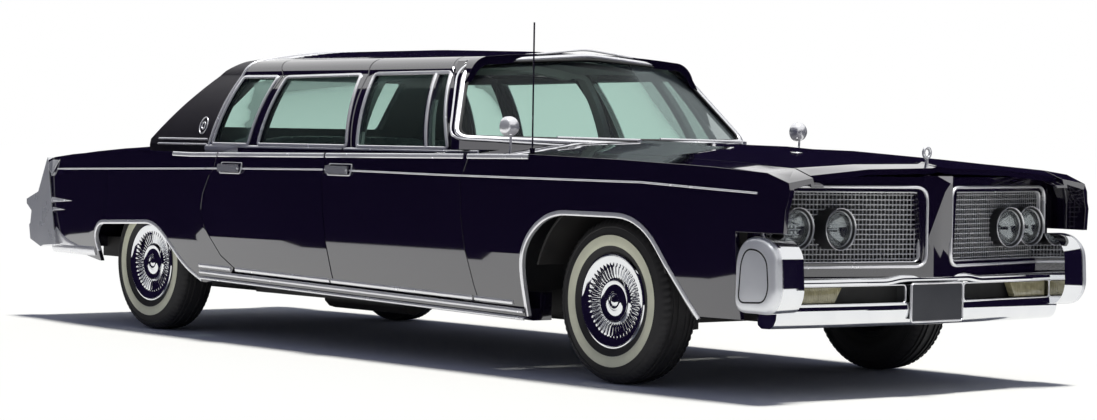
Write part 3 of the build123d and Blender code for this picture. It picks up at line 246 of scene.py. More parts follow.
def hide_pattern(colour):
    """Seat hide: fine pores, broad tonal clouds, and a softer shine where it is worn."""
    def pattern(place):
        pores = place.cells(650.0, "DISTANCE_TO_EDGE").clamp(0, 0.3)
        cloud = place.noise(5.0, 5.0)
        return {"Normal": pores.bump(0.4, 0.0005),
                "Base Color": cloud.between(*shades(colour, 0.78, 1.2)),
                "Roughness": cloud * 0.2 + 0.36}
    return pattern


def carpet_pattern(place):
    """Cut pile: dense fine noise in tone and height."""
    pile = place.noise(700.0, 3.0)
    return {"Normal": pile.bump(0.8, 0.002), "Base Color": pile.between((0.008, 0.008, 0.010), (0.05, 0.05, 0.055))}


def underbody_pattern(place):
    """Black chassis paint with road dust in broad patches."""
    dust = place.noise(7.0, 5.0, 0.6)
    return {"Base Color": dust.between((0.006, 0.006, 0.007), (0.035, 0.032, 0.030)),
            "Roughness": dust * 0.3 + 0.42,
            "Normal": place.noise(180.0, 3.0).bump(0.2, 0.001)}


def casting_pattern(place):
    """Sand-cast iron: a coarse skin and dark stains."""
    stain = place.noise(12.0, 5.0)
    return {"Base Color": stain.between((0.03, 0.03, 0.03), (0.12, 0.115, 0.11)),
            "Roughness": stain * 0.3 + 0.45,
            "Normal": place.noise(320.0, 4.0).bump(0.4, 0.0012)}


def rubber_pattern(place):
    """Tyre rubber: greyer where it is scuffed, with a fine skin."""
    scuff = place.noise(14.0, 5.0, 0.6)
    return {"Base Color": scuff.between((0.010, 0.010, 0.011), (0.035, 0.033, 0.034)),
            "Roughness": scuff * 0.25 + 0.55,
            "Normal": place.noise(420.0, 3.0).bump(0.25, 0.0006)}


def band_pattern(colour):
    """White rubber: slightly stained cream."""
    def pattern(place):
        stain = place.noise(22.0, 4.0)
        return {"Base Color": stain.between(*shades(colour, 0.86, 1.08)),
                "Normal": place.noise(500.0, 2.0).bump(0.1, 0.0004)}
    return pattern


def lens_pattern(first, second, pitch):
    """A moulded lens: upright flutes, and small tonal differences between them."""
    def pattern(place):
        angle = place.part("Y") * (2 * math.pi / pitch)
        flute = angle.maths("SINE", angle)
        tone = place.noise(40.0, 3.0)
        return {"Base Color": tone.between(first, second), "Normal": flute.bump(0.6, 0.002)}
    return pattern


def bowl_pattern(place):
    """A reflector darkened to grey, a painted dark reflection: small differences of tone and polish."""
    return {"Roughness": place.noise(40.0) * 0.1 + 0.08,
            "Base Color": place.noise(30.0).between((0.24, 0.24, 0.25), (0.42, 0.42, 0.43))}


HANDLE_REACH = 1.0030         # only the handles stand out further than this from the centre line
CAP_REACH = 0.915             # beyond this the bumpers' side faces begin
ROOF_COVER_EDGE = -1.300      # where the covered roof begins at the foot of the greenhouse, from the body datum
ROOF_COVER_FOOT = 0.99        # height of that foot
ROOF_COVER_LEAN = 0.17        # metres forwards for each metre up


def door_pattern(colour):
    """Lacquer, with plating where |y| is over the handles' reach; a quarter of that plating is near-white lacquer,
    partly a painted bright reflection.
    """
    plain = paint_pattern(colour)

    def pattern(place):
        made = plain(place)
        y = place.part("Y")
        grip = ((y.maths("ABSOLUTE", y) - HANDLE_REACH) * 3000.0).clamp()
        # the handle's plating: real plating, lightened by a near-white lacquer share that is a painted highlight
        made["Base Color"] = grip.between(made["Base Color"], (0.88, 0.89, 0.90))
        made["Metallic"] = grip * 0.75
        made["Roughness"] = made["Roughness"] + grip * 0.14
        return made
    return pattern


def roof_pattern(colour, cover):
    """Lacquer in front, and grained cover behind a slanted plane: x < edge + lean * (z - foot)."""
    def pattern(place):
        edge = body_x(ROOF_COVER_EDGE).item()
        ahead = place.part("X") - place.part("Z") * ROOF_COVER_LEAN + (ROOF_COVER_LEAN * ROOF_COVER_FOOT - edge)
        behind = 1 - (ahead * 500.0).clamp()
        grain = place.cells(420.0, "DISTANCE_TO_EDGE").clamp(0, 0.35)
        cloud = place.noise(6.0, 4.0)
        return {"Base Color": behind.between(colour, cloud.between(*shades(cover, 0.7, 1.6))),
                "Roughness": behind * (cloud * 0.12 + 0.36) + 0.05,
                "Coat Weight": 1 - behind,
                "Normal": (behind * (grain + place.noise(900.0, 2.0) * 0.1)).bump(0.5, 0.0006)}
    return pattern


def cap_pattern(place):
    """Plating that is brushed softer and less metallic where |y| is over the reach of the side faces."""
    made = chrome_pattern(place)
    y = place.part("Y")
    soft = ((y.maths("ABSOLUTE", y) - CAP_REACH) * 80.0).clamp()
    made["Roughness"] = made["Roughness"] + soft * 0.28
    made["Metallic"] = 1 - soft * 0.5
    return made


MATERIALS = {}


def make_materials(paint):
    """The finishes by the names that the pieces and the CAD nodes use."""
    body, vinyl, seat, band = tuple(paint.body), tuple(paint.vinyl), tuple(paint.seat), tuple(paint.whitewall)
    MATERIALS.update({
        "black_paint": finish("lacquer", body, 0.06, coat=1.0, IOR=1.7, Coat_IOR=1.7, pattern=paint_pattern(body)),
        "chrome": finish("bright_plating", (0.80, 0.81, 0.83), 0.05, metallic=1.0, pattern=chrome_pattern),
        "dark_steel": finish("chassis_black", (0.02, 0.02, 0.02), 0.5, pattern=underbody_pattern),
        "cast_iron": finish("cast_iron", (0.08, 0.08, 0.08), 0.6, metallic=0.4, pattern=casting_pattern),
        "tyre": finish("rubber", (0.02, 0.02, 0.02), 0.65, pattern=rubber_pattern),
        # the bright trim is 40 % near-white lacquer: a painted bright reflection where its mirror would see the dark
        # cards
        "bright_trim": finish("bright_trim", (0.95, 0.95, 0.96), 0.24, metallic=0.6, coat=0.4, pattern=trim_pattern),
        "whitewall": finish("white_rubber", band, 0.5, pattern=band_pattern(band)),
        "leather": finish("hide", seat, 0.45, coat=0.1, pattern=hide_pattern(seat)),
        "carpet": finish("carpet", (0.02, 0.02, 0.022), 0.9, sheen=0.3, pattern=carpet_pattern),
        "dash_plastic": finish("moulded_black", (0.015, 0.015, 0.017), 0.4,
                               pattern=lambda place: {"Normal": place.cells(500.0).bump(0.3, 0.0005),
                                                      "Roughness": place.noise(8.0) * 0.2 + 0.3}),
        # black of the rubber seals, also used as painted shade on the front's dark sheets and lines
        "seal": finish("rubber_seal_and_painted_shade", (0.006, 0.006, 0.006), 0.6,
                       pattern=lambda place: {"Roughness": place.noise(20.0) * 0.2 + 0.5}),
        "amber_lens": finish("parking_lens", (0.30, 0.27, 0.13), 0.12, coat=0.8,
                             pattern=lens_pattern((0.20, 0.18, 0.09), (0.46, 0.42, 0.25), 0.012)),
        "red_lens": finish("tail_lens", (0.35, 0.01, 0.01), 0.12, coat=0.8,
                           pattern=lens_pattern((0.25, 0.005, 0.005), (0.48, 0.02, 0.02), 0.010)),
        "plate": finish("blank_plate", (0.045, 0.047, 0.055), 0.35,
                        pattern=lambda place: {"Roughness": place.noise(18.0) * 0.2 + 0.28,
                                               "Base Color": place.noise(5.0).between((0.03, 0.032, 0.04),
                                                                                      (0.07, 0.072, 0.08))}),
        "liner": finish("head_cloth", (0.45, 0.47, 0.44), 0.85,
                        pattern=lambda place: {"Base Color": place.noise(9.0).between((0.38, 0.40, 0.37),
                                                                                      (0.52, 0.54, 0.50)),
                                               "Normal": place.noise(600.0).bump(0.3, 0.0005)}),
        # the bowl's grey metal is a painted dark reflection in place of a bright reflector
        "bowl": finish("lamp_bowl", (0.42, 0.42, 0.43), 0.12, metallic=1.0, pattern=bowl_pattern),
        "door": finish("door_lacquer", body, 0.06, coat=1.0, IOR=1.7, Coat_IOR=1.7, pattern=door_pattern(body)),
        "roof": finish("roof_finish", body, 0.06, coat=1.0, Coat_IOR=1.7, pattern=roof_pattern(body, vinyl)),
        "bumper_plating": finish("bumper_plating", (0.80, 0.81, 0.83), 0.05, metallic=1.0, pattern=cap_pattern),
        "glass": window_glass("window_glass", tuple(paint.glass)),
        "screen": window_glass("screen_glass", (0.88, 0.93, 0.92)),
        "clear": window_glass("lamp_glass", (0.93, 0.95, 0.95)),
    })


def window_glass(name, tint):
    """Thin glass: it lets the scene through, tinted, and mirrors more at flat angles."""
    made = bpy.data.materials.new(name)
    made.use_nodes = True
    tree = made.node_tree
    shader = tree.nodes["Principled BSDF"]
    out = tree.nodes["Material Output"]
    shader.inputs["Base Color"].default_value = (*(c * 0.3 for c in tint), 1)
    shader.inputs["Roughness"].default_value = 0.02
    through = tree.nodes.new("ShaderNodeBsdfTransparent")
    through.inputs["Color"].default_value = (*tint, 1)
    weight = tree.nodes.new("ShaderNodeLayerWeight")
    weight.inputs["Blend"].default_value = 0.12
    share = Field(tree, weight.outputs["Fresnel"]) * 0.6 + 0.05
    mix = tree.nodes.new("ShaderNodeMixShader")
    tree.links.new(share.clamp().socket, mix.inputs[0])
    tree.links.new(through.outputs[0], mix.inputs[1])
    tree.links.new(shader.outputs[0], mix.inputs[2])
    tree.links.new(mix.outputs[0], out.inputs["Surface"])
    return made


# Helpers that make surfaces.
def shell(points, around=False, along=False, material=0):
    """A grid of points as one surface. around joins the last row to the first, along the last column to the first."""
    return {"points": np.asarray(points, float), "around": around, "along": along, "material": material}


def quads_of(rows, columns, around, along):
    """The point numbers of each face of a grid: (i, j), (i+1, j), (i+1, j+1), (i, j+1)."""
    index = np.arange(rows * columns).reshape(rows, columns)
    if around:
        index = np.vstack([index, index[:1]])
    if along:
        index = np.hstack([index, index[:, :1]])
    return np.stack([index[:-1, :-1], index[1:, :-1], index[1:, 1:], index[:-1, 1:]], -1).reshape(-1, 4)


def piece(name, shells, materials, body="body", replaces=(), smooth=35.0):
    """One object from several grid surfaces, with shared points merged and faces turned outwards."""
    points, quads, finishes, start = [], [], [], 0
    for s in shells:
        rows, columns, _ = s["points"].shape
        faces = quads_of(rows, columns, s["around"], s["along"]) + start
        points.append(s["points"].reshape(-1, 3))
        quads.append(faces)
        finishes.append(np.full(len(faces), s["material"]))
        start += rows * columns
    points, quads, finishes = np.concatenate(points), np.concatenate(quads), np.concatenate(finishes)
    mesh = bpy.data.meshes.new(name)
    mesh.vertices.add(len(points))
    mesh.vertices.foreach_set("co", points.ravel())
    mesh.loops.add(quads.size)
    mesh.loops.foreach_set("vertex_index", quads.ravel())
    mesh.polygons.add(len(quads))
    mesh.polygons.foreach_set("loop_start", np.arange(0, quads.size, 4))
    mesh.update(calc_edges=True)
    mesh.polygons.foreach_set("material_index", finishes)
    work = bmesh.new()
    work.from_mesh(mesh)
    bmesh.ops.remove_doubles(work, verts=work.verts, dist=1e-6)
    bmesh.ops.recalc_face_normals(work, faces=work.faces)
    for edge in work.edges:
        edge.smooth = len(edge.link_faces) == 2 and edge.calc_face_angle(0) < math.radians(smooth)
    work.to_mesh(mesh)
    work.free()
    mesh.polygons.foreach_set("use_smooth", np.ones(len(mesh.polygons), bool))
    made = bpy.data.objects.new(name, mesh)
    bpy.context.scene.collection.objects.link(made)
    for material in materials if isinstance(materials, (list, tuple)) else [materials]:
        mesh.materials.append(MATERIALS[material])
    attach(made, body)
    if replaces:
        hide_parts(*replaces)
    return made


def closed_ends(points):
    """Adds a point ring at each end of a swept surface, so that it is closed."""
    first = np.repeat(points[:1].mean(1, keepdims=True), points.shape[1], 1)
    last = np.repeat(points[-1:].mean(1, keepdims=True), points.shape[1], 1)
    return np.concatenate([first, points, last])


def unit(vectors):
    """Each vector over its length."""
    return vectors / np.maximum(np.linalg.norm(vectors, axis=-1, keepdims=True), 1e-12)


def swept(path, outward, profile, material=0, closed=False):
    """A profile carried along a path. The profile's second axis points outward, its first across the path:
    point = path + a * across + b * outward, with across = outward x tangent."""
    path, outward = np.asarray(path, float), np.asarray(outward, float)
    if closed:
        tangent = unit(np.roll(path, -1, 0) - np.roll(path, 1, 0))
    else:
        tangent = unit(np.gradient(path, axis=0))
    outward = unit(outward - (outward * tangent).sum(1, keepdims=True) * tangent)
    across = np.cross(outward, tangent)
    profile = np.asarray(profile, float)
    points = path[:, None] + profile[None, :, :1] * across[:, None] + profile[None, :, 1:] * outward[:, None]
    return shell(points if closed else closed_ends(points), around=closed, along=True, material=material)


def oval(width, height, count=10, foot=0.0015):
    """Half an ellipse, width across and height out, on a foot that sinks a little into what carries it."""
    turn = np.linspace(0, math.pi, count)
    top = np.stack([width / 2 * np.cos(turn), height * np.sin(turn)], 1)
    return np.concatenate([top, [[-width / 2, -foot], [width / 2, -foot]]])


def ring(radius, count=12):
    """A circle: radius * (cos, sin) of each turn."""
    turn = np.linspace(0, 2 * math.pi, count, endpoint=False)
    return np.stack([radius * np.cos(turn), radius * np.sin(turn)], 1)


def turned(profile, centre, axis="y", count=64, material=0, ripple=None):
    """A profile of (distance along the axis, radius) turned about an axis through centre.
    ripple(angle, distance, radius) adds to the distance."""
    profile = np.asarray(profile, float)
    angle = np.linspace(0, 2 * math.pi, count, endpoint=False)
    along = np.broadcast_to(profile[:, 0], (count, len(profile))).copy()
    radius = np.broadcast_to(profile[:, 1], (count, len(profile)))
    turn = angle[:, None] + 0 * radius
    if ripple is not None:
        along = along + ripple(turn, along, radius)
    first, second = radius * np.cos(turn), radius * np.sin(turn)
    order = {"x": (along, first, second), "y": (first, along, second), "z": (first, second, along)}[axis]
    return shell(np.stack(order, -1) + np.asarray(centre), around=True, material=material)


def softened(points, radii, steps=8):
    """A line through points whose corners are rounded by a quadratic curve: p = (1-t)^2 a + 2t(1-t) b + t^2 c."""
    points = np.asarray(points, float)
    radii = np.broadcast_to(np.asarray(radii, float), len(points))
    line = [points[:1]]
    for before, corner, after, radius in zip(points, points[1:], points[2:], radii[1:]):
        reach = min(radius, np.linalg.norm(before - corner) / 2, np.linalg.norm(after - corner) / 2)
        start = corner + unit(before - corner) * reach
        end = corner + unit(after - corner) * reach
        t = np.linspace(0, 1, steps if radius else 1)[:, None]
        line.append((1 - t) ** 2 * start + 2 * t * (1 - t) * corner + t ** 2 * end)
    line.append(points[-1:])
    return np.concatenate(line)


def resampled(line, count):
    """The same line at count points, evenly spaced along it."""
    step = np.concatenate([[0], np.cumsum(np.linalg.norm(np.diff(line, axis=0), axis=1))])
    at = np.linspace(0, step[-1], count)
    return np.stack([np.interp(at, step, line[:, k]) for k in range(line.shape[1])], 1)


# The body's own surfaces.

# The side, as in the part's source: station as a share of the wheelbase, half width, waist height. Then its profile
# as shares of half width and waist, and the greenhouse's line of (half width, height).
FLANK = np.array([(-0.7638, 0.905, 0.905), (-0.6979, 0.940, 0.921), (-0.6057, 0.972, 0.947), (-0.5004, 0.992, 0.962),
                  (-0.3424, 1.000, 0.954), (0.3950, 1.000, 0.986), (0.5557, 0.996, 0.972), (0.6953, 0.970, 0.952),
                  (0.7743, 0.945, 0.933), (0.8072, 0.930, 0.890)])
FLANK_PROFILE = np.array([(0.930, 0.250), (0.962, 0.400), (0.988, 0.560), (1.000, 0.720), (1.000, 0.880),
                          (0.988, 0.915), (0.975, 1.000)])
GLASS_LINE = np.array([(0.870, 0.940), (0.870, 0.990), (0.808, 1.185), (0.705, 1.358), (0.672, 1.408),
                       (0.600, 1.440)])


def station(share):
    """Distance forwards of a station, given as a share of the wheelbase from the body datum."""
    return DATUM_X + np.asarray(share) * WHEELBASE


def flank_width(x, z):
    """Half width of the body side: the profile's rows, scaled by the side and the waist at x, joined by straight
    lines up the side."""
    x, z = np.broadcast_arrays(np.asarray(x, float), np.asarray(z, float))
    side = np.interp(x, station(FLANK[:, 0]), FLANK[:, 1])
    waist = np.interp(x, station(FLANK[:, 0]), FLANK[:, 2])
    width = side * FLANK_PROFILE[0, 0]
    for (low_y, low_z), (high_y, high_z) in zip(FLANK_PROFILE, FLANK_PROFILE[1:]):
        share = np.clip((z / waist - low_z) / (high_z - low_z), 0, 1)
        width = width + side * (high_y - low_y) * share
    return width


def arc_width(first, middle, last, z):
    """Half width at a height on the circle through three points: y = centre + sqrt(R^2 - (z - centre height)^2)."""
    rows = 2 * np.array([middle - first, last - first])
    sums = np.array([middle @ middle - first @ first, last @ last - first @ first])
    centre = np.linalg.solve(rows, sums)
    radius = np.linalg.norm(first - centre)
    return centre[0] + np.sqrt(np.maximum(radius ** 2 - (z - centre[1]) ** 2, 0))


def glass_width(z):
    """Half width of the greenhouse at a height: upright, then one arc up the glass and one round the shoulder."""
    z = np.asarray(z, float)
    glass = arc_width(*GLASS_LINE[1:4], z)
    shoulder = arc_width(*GLASS_LINE[3:6], z)
    return np.where(z < GLASS_LINE[1, 1], GLASS_LINE[1, 0], np.where(z < GLASS_LINE[3, 1], glass, shoulder))


def glass_side(x, z):
    """Half width of the greenhouse at places along it: it is the same for every x."""
    return glass_width(z)


def on_side(line, side, width=flank_width):
    """Points and outward directions on a side surface for a line of (x, z): the direction is (-dy/dx, 1, -dy/dz)."""
    x, z, step = line[:, 0], line[:, 1], SLOPE_STEP
    slope_x = (width(x + step, z) - width(x - step, z)) / (2 * step)
    slope_z = (width(x, z + step) - width(x, z - step)) / (2 * step)
    outward = unit(np.stack([-slope_x, np.ones_like(x), -slope_z], 1))
    return np.stack([x, width(x, z), z], 1) * (1, side, 1), outward * (1, side, 1)


def side_strip(line, side, profile, count=80):
    """A profile carried along a line of (x, z) on the body side."""
    points, outward = on_side(resampled(np.asarray(line, float), count), side)
    return swept(points, outward, profile)


# The CAD nodes and the pieces.
def soften_frame_nodes():
    """Gives each CAD node its finish. Its own mesh stays as it is: modifiers join its triangles, round its edges a
    little and turn the shading smooth over gentle bends."""
    record = frame["record"]
    slot_of = {row["node"]: row["material_slot"] for row in record["subparts"]}
    for name, node in frame["nodes"].items():
        node.data.materials.clear()
        node.data.materials.append(MATERIALS[NODE_FINISH.get(name, slot_of[name])])
        smooth_shading(node, NODE_BEVEL.get(name, USUAL_BEVEL))


def smooth_shading(made, bevel):
    """Modifiers that join a mesh's triangles, flatten its faces, round its edges and smooth its shading."""
    weld = made.modifiers.new("Join", "WELD")
    weld.merge_threshold = 1e-5
    flat = made.modifiers.new("Flats", "DECIMATE")
    flat.decimate_type = "DISSOLVE"
    flat.angle_limit = math.radians(0.4)
    if bevel:
        edge = made.modifiers.new("Edges", "BEVEL")
        edge.width = bevel
        edge.segments = 3 if bevel > 0.004 else 2
        edge.limit_method = "ANGLE"
        edge.angle_limit = math.radians(28)
        edge.use_clamp_overlap = True
    normals = made.modifiers.new("Shading", "WEIGHTED_NORMAL")
    normals.keep_sharp = True
    normals.weight = 60
    made.data.polygons.foreach_set("use_smooth", np.ones(len(made.data.polygons), bool))


# Finishes that differ from a node's own slot, and the roundness of edges where it isn't the usual one (metres).
NODE_FINISH = {**{f"{side}_{end}_door": "door" for side in SIDES for end in ENDS},
               "windscreen": "screen", "backlight": "screen", "mirrors": "bright_trim", "wipers": "bright_trim",
               "front_seat": "leather", "rear_seat": "leather", "roof": "roof", "rear_bumper": "bumper_plating",
               "front_bumper": "bumper_plating", "floor_pan": "carpet", "partition": "dash_plastic",
               "centre_pillars": "liner", "wheel_housings": "dark_steel"}
USUAL_BEVEL = 0.0015
NODE_BEVEL = {"front_bumper": 0.012, "rear_bumper": 0.010, "front_plate": 0.003, "grille": 0.0, "windscreen": 0.0,
              "backlight": 0.0, "quarter_glass": 0.0, "hood": 0.004, "boot_lid": 0.004, "front_fenders": 0.003,
              "quarter_panels": 0.003, "roof": 0.004, "tail_lamps": 0.004}


def make_wheels(settings):
    """Tyres with grooves and whitewalls, and bright covers with turned vanes."""
    for side, s in SIDES.items():
        for end in ENDS:
            hub = np.array(JOINTS[f"{side}_{end}_wheel_spin"]["pos_m"])
            name = f"{side}_{end}"
            piece(f"{name}_tyre_dressed", tyre_shells(hub, s, settings), ["tyre", "whitewall"], f"{name}_wheel",
                  [f"{name}_tyre"], 50)
            piece(f"{name}_cover", cover_shells(hub, s, settings), ["chrome", "dash_plastic"], f"{name}_wheel",
                  [f"{name}_wheel"], 40)


# Tyre outline, outer half: distance out, radius, and 1 where the band is white (metres).
TYRE_ROWS = np.array([(0.071, 0.199, 0), (0.086, 0.209, 0), (0.094, 0.224, 0), (0.0985, 0.2385, 0),
                      (0.1000, 0.2395, 1), (0.1030, 0.262, 1), (0.1020, 0.2855, 1), (0.1005, 0.2865, 0),
                      (0.0990, 0.300, 0), (0.0950, 0.318, 0), (0.0985, 0.3215, 0), (0.0945, 0.333, 0),
                      (0.0860, 0.346, 0), (0.0760, 0.353, 0)])
# Distances out where the tread steps between its crown and a groove, and half the width of such a wall.
RIBS = (0.0700, 0.0540, 0.0470, 0.0270, 0.0200, 0.0000)
RIB_WALL = 0.0005
TREAD_RADIUS = 0.3598
BLOCKS_FROM, BLOCKS_TO = 0.0545, 0.092       # distances out between which the shoulder is cut into blocks
BLOCKS_ABOVE = 0.33                          # radius under which nothing is cut
BLOCK_LEAN, BLOCK_CUT = 9.0, 0.28            # blocks that a cut leans over per metre out, and its share of a block


def tyre_shells(hub, s, settings):
    """Turned outline; across the tread the radius falls by 0.9 a^2 and steps down into grooves, and the shoulder
    blocks are cut by a square wave of the angle: r = r0 - depth * wave(blocks * angle + lean * a)."""
    across = np.array([edge + way * RIB_WALL for edge in RIBS for way in (1, -1)][:-2])
    grooved = np.array([0, 1, 1, 0] * (len(RIBS) // 2))[:-2]
    tread = np.stack([across, TREAD_RADIUS - 0.9 * across ** 2 - settings.groove * grooved], 1)
    half = np.concatenate([TYRE_ROWS[:, :2], tread])
    white = np.concatenate([TYRE_ROWS[:, 2], 0 * across])
    profile = np.concatenate([half, (half * (-1, 1))[::-1]])
    white = np.concatenate([white, 0 * white])
    count = settings.blocks * 4
    angle = np.arange(count) / count * 2 * math.pi
    out = np.abs(profile[None, :, 0])
    phase = settings.blocks * angle[:, None] / (2 * math.pi) + BLOCK_LEAN * out
    cut = (phase % 1.0 < BLOCK_CUT) & (out > BLOCKS_FROM) & (out < BLOCKS_TO) & (profile[None, :, 1] > BLOCKS_ABOVE)
    radius = profile[None, :, 1] - 0.8 * settings.groove * cut
    points = np.stack([hub[0] + radius * np.cos(angle[:, None]), hub[1] + s * profile[None, :, 0] + 0 * radius,
                       hub[2] + radius * np.sin(angle[:, None])], -1)
    edges = np.flatnonzero(np.diff(white) != 0)
    first, last = edges[0] + 1, edges[1]
    return [shell(points[:, :first + 1], around=True), shell(points[:, first:last + 1], around=True, material=1),
            shell(np.concatenate([points[:, last:], points[:, :1]], 1), around=True)]


# Wheel cover's outline from its rim to its middle, and its back: distance out, radius (metres).
COVER_DISH = np.array([(0.078, 0.2075), (0.089, 0.2085), (0.0935, 0.2050), (0.0935, 0.2000), (0.0890, 0.1960),
                       (0.0860, 0.1900), (0.0840, 0.1720), (0.0815, 0.1640), (0.0790, 0.1600), (0.0775, 0.1450),
                       (0.0750, 0.1250), (0.0725, 0.1080), (0.0720, 0.1000), (0.0760, 0.0960), (0.0800, 0.0930),
                       (0.0800, 0.0890), (0.0770, 0.0860), (0.0755, 0.0700), (0.0762, 0.0450), (0.0790, 0.0400),
                       (0.0815, 0.0370), (0.0815, 0.0330), (0.0790, 0.0310), (0.0790, 0.0240), (0.0825, 0.0200),
                       (0.0840, 0.0100), (0.0845, 0.0)])
COVER_BACK = np.array([(0.078, 0.2075), (0.074, 0.199), (-0.074, 0.199), (-0.078, 0.207), (-0.080, 0.199),
                       (-0.070, 0.180), (0.020, 0.176), (0.050, 0.120), (0.050, 0.0)])
VANES_OUTER, VANES_INNER = 0.163, 0.104      # radii between which the vanes stand


def cover_shells(hub, s, settings):
    """Turned dish with a ring of vanes: distance = dish(r) + height * clipped sine(vanes * angle) between two radii;
    a domed cap with two rings stands in the middle."""
    def vanes(angle, distance, radius):
        """How far the vanes stand out at an angle and a radius."""
        inside = np.clip((VANES_OUTER - radius) / 0.004, 0, 1) * np.clip((radius - VANES_INNER) / 0.004, 0, 1)
        wave = np.clip(2.2 * np.sin(settings.vanes * angle) + 0.4, -1, 1)
        return settings.vane_height * inside * wave

    radii = np.linspace(0.1640, 0.1000, 9)
    under_vanes = np.stack([np.interp(radii, COVER_DISH[::-1, 1], COVER_DISH[::-1, 0]), radii], 1)
    rows = np.concatenate([COVER_DISH[COVER_DISH[:, 1] > 0.165], under_vanes, COVER_DISH[COVER_DISH[:, 1] < 0.099]])
    front = turned(rows * (s, 1), hub, "y", settings.vanes * 8, 0, lambda angle, d, r: s * vanes(angle, d, r))
    return [front, turned(COVER_BACK * (s, 1), hub, "y", 72, 1)]


def make_side_trim(settings):
    """Bright strips along the body side: the thin line, the mouldings above and along the sill, and the arch lips."""
    shells = {name: [] for name in BODIES}
    for side, s in SIDES.items():
        for spans, count, height, profile in ((LINE_SPANS, 60, line_height, oval(settings.line, 0.0035)),
                                              (SILL_SPANS, 40, moulding_height, oval(0.024, 0.006))):
            for body, start, end in spans:
                x = np.linspace(station(start), station(end), count)
                shells[body.format(side)].append(side_strip(np.stack([x, height(x)], 1), s, profile))
        shells["body"] += sill_strips(np.linspace(station(0.3780), station(-0.3255), 60), s)
        for axle, rows, radii in ((FRONT_AXLE, FRONT_ARCH, FRONT_ARCH_SOFT), (REAR_AXLE, REAR_ARCH, REAR_ARCH_SOFT)):
            line = softened(axle[[0, 2]] * (1, 0) + rows, radii)
            shells["body"].append(side_strip(line, s, arch_lip(settings.arch), count=110))
    for body, found in shells.items():
        piece(f"{body}_side_trim", found, "bright_trim", body)


# Strips along the side: the body that each rides on, and its front and rear station.
LINE_SPANS = (("body", 0.765, 0.2712), ("{}_front_door", 0.2700, -0.0195), ("{}_rear_door", -0.0232, -0.2990),
              ("body", -0.3010, -0.7390))
SILL_SPANS = (("body", 0.3560, 0.2835), ("{}_front_door", 0.2790, -0.0135), ("{}_rear_door", -0.0170, -0.2350),
              ("body", -0.2470, -0.3250))
# Arch outlines and the softness of their corners, as (forwards of the axle, height) in tyre radii.
FRONT_ARCH = np.array([(-1.39, 0.74), (-1.39, 1.58), (-0.85, 2.02), (0.83, 2.02), (1.66, 0.88)]) * TYRE_RADIUS
FRONT_ARCH_SOFT = np.array([0, 0.40, 0.42, 0.42, 0]) * TYRE_RADIUS
REAR_ARCH = np.array([(-1.20, 1.12), (-1.28, 1.35), (-1.10, 1.54), (0.62, 1.60), (1.06, 1.20), (1.34, 0.96),
                      (1.70, 0.80)]) * TYRE_RADIUS
REAR_ARCH_SOFT = np.array([0, 0.10, 0.12, 0.30, 0.30, 0.20, 0]) * TYRE_RADIUS
# Rows of the thin line: station and height.
LINE_ROWS = np.array([(-0.7377, 0.841), (-0.2607, 0.877), (-0.0132, 0.889), (0.2236, 0.882), (0.5899, 0.879),
                      (0.7653, 0.850)])


def line_height(x):
    """Height of the thin line, by straight runs between its rows."""
    return np.interp(x, station(LINE_ROWS[:, 0]), LINE_ROWS[:, 1])


def sill_height(x):
    """Height of the top of the sill."""
    return np.interp(x, station(np.array([-0.3266, 0.3792])), [0.352, 0.300])


def moulding_height(x):
    """Height of the moulding above the sill."""
    return sill_height(x) + 0.020


def sill_strips(x, s):
    """Two bright rails along the sill's outer face: how far below the sill's top, how far out, and how broad."""
    out = np.stack([0 * x, 0 * x + s, 0 * x], 1)
    return [swept(np.stack([x, 0 * x + s * y, sill_height(x) - drop], 1), out, oval(width, 0.005))
            for drop, y, width in ((0.012, 0.9555, 0.020), (0.045, 0.9500, 0.016))]


def arch_lip(width):
    """A lip round an arch: a flat flange on the body side with a rounded edge."""
    return np.array([(-0.002, -0.016), (-0.002, 0.002), (0.002, 0.0045), (width * 0.5, 0.0045), (width, 0.001),
                     (width, -0.002), (0.004, -0.003), (0.003, -0.016)])


def body_x(metres):
    """Distance forwards of a place given in metres from the body datum."""
    return DATUM_X + np.asarray(metres, float)


def closed_line(corners, radius, count=120):
    """A closed polygon with rounded corners at evenly spaced points, without its first point repeated."""
    corners = np.asarray(corners, float)
    middle = (corners[:1] + corners[-1:]) / 2
    line = softened(np.concatenate([middle, corners, middle]), radius)
    return resampled(line, count + 1)[:-1]


CORNER_REACH = 1.35           # how far a corner moves when the sides of its polygon move by 1


def grown(corners, amount):
    """A polygon's corners moved away from its middle."""
    corners = np.asarray(corners, float)
    return corners + unit(corners - corners.mean(0)) * amount * CORNER_REACH


def side_band(x, low, high, s, width, lift):
    """A strip between two heights on a side surface: y = width(x, z) + lift * sqrt(sin(pi v)), v across the strip."""
    v = np.linspace(0, 1, 9)
    z = low[:, None] + (high - low)[:, None] * v
    grid = x[:, None] + 0 * z
    y = width(grid, z)
    front = np.stack([grid, s * (y + lift * np.sqrt(np.clip(np.sin(np.pi * v), 0, 1))), z], -1)
    back = np.stack([grid, s * (y - 0.002), z], -1)[:, [-1, 0]]
    return shell(closed_ends(np.concatenate([front, back], 1)), along=True)


def waist_height(x):
    """Height of the body side's top edge."""
    return np.interp(x, station(FLANK[:, 0]), FLANK[:, 2])


# Windows, as (forwards, height) from the body datum in metres.
QUARTER_WINDOW = [(-1.262, 1.005), (-0.937, 1.005), (-0.901, 1.345), (-1.206, 1.345)]
REAR_WINDOW = [(-0.836, 1.005), (-0.071, 1.005), (-0.178, 1.352), (-0.808, 1.345)]
FRONT_WINDOW = [(0.030, 1.005), (0.742, 1.005), (0.545, 1.357), (-0.051, 1.355)]
VENT_BAR = [(0.582, 1.003), (0.443, 1.357)]
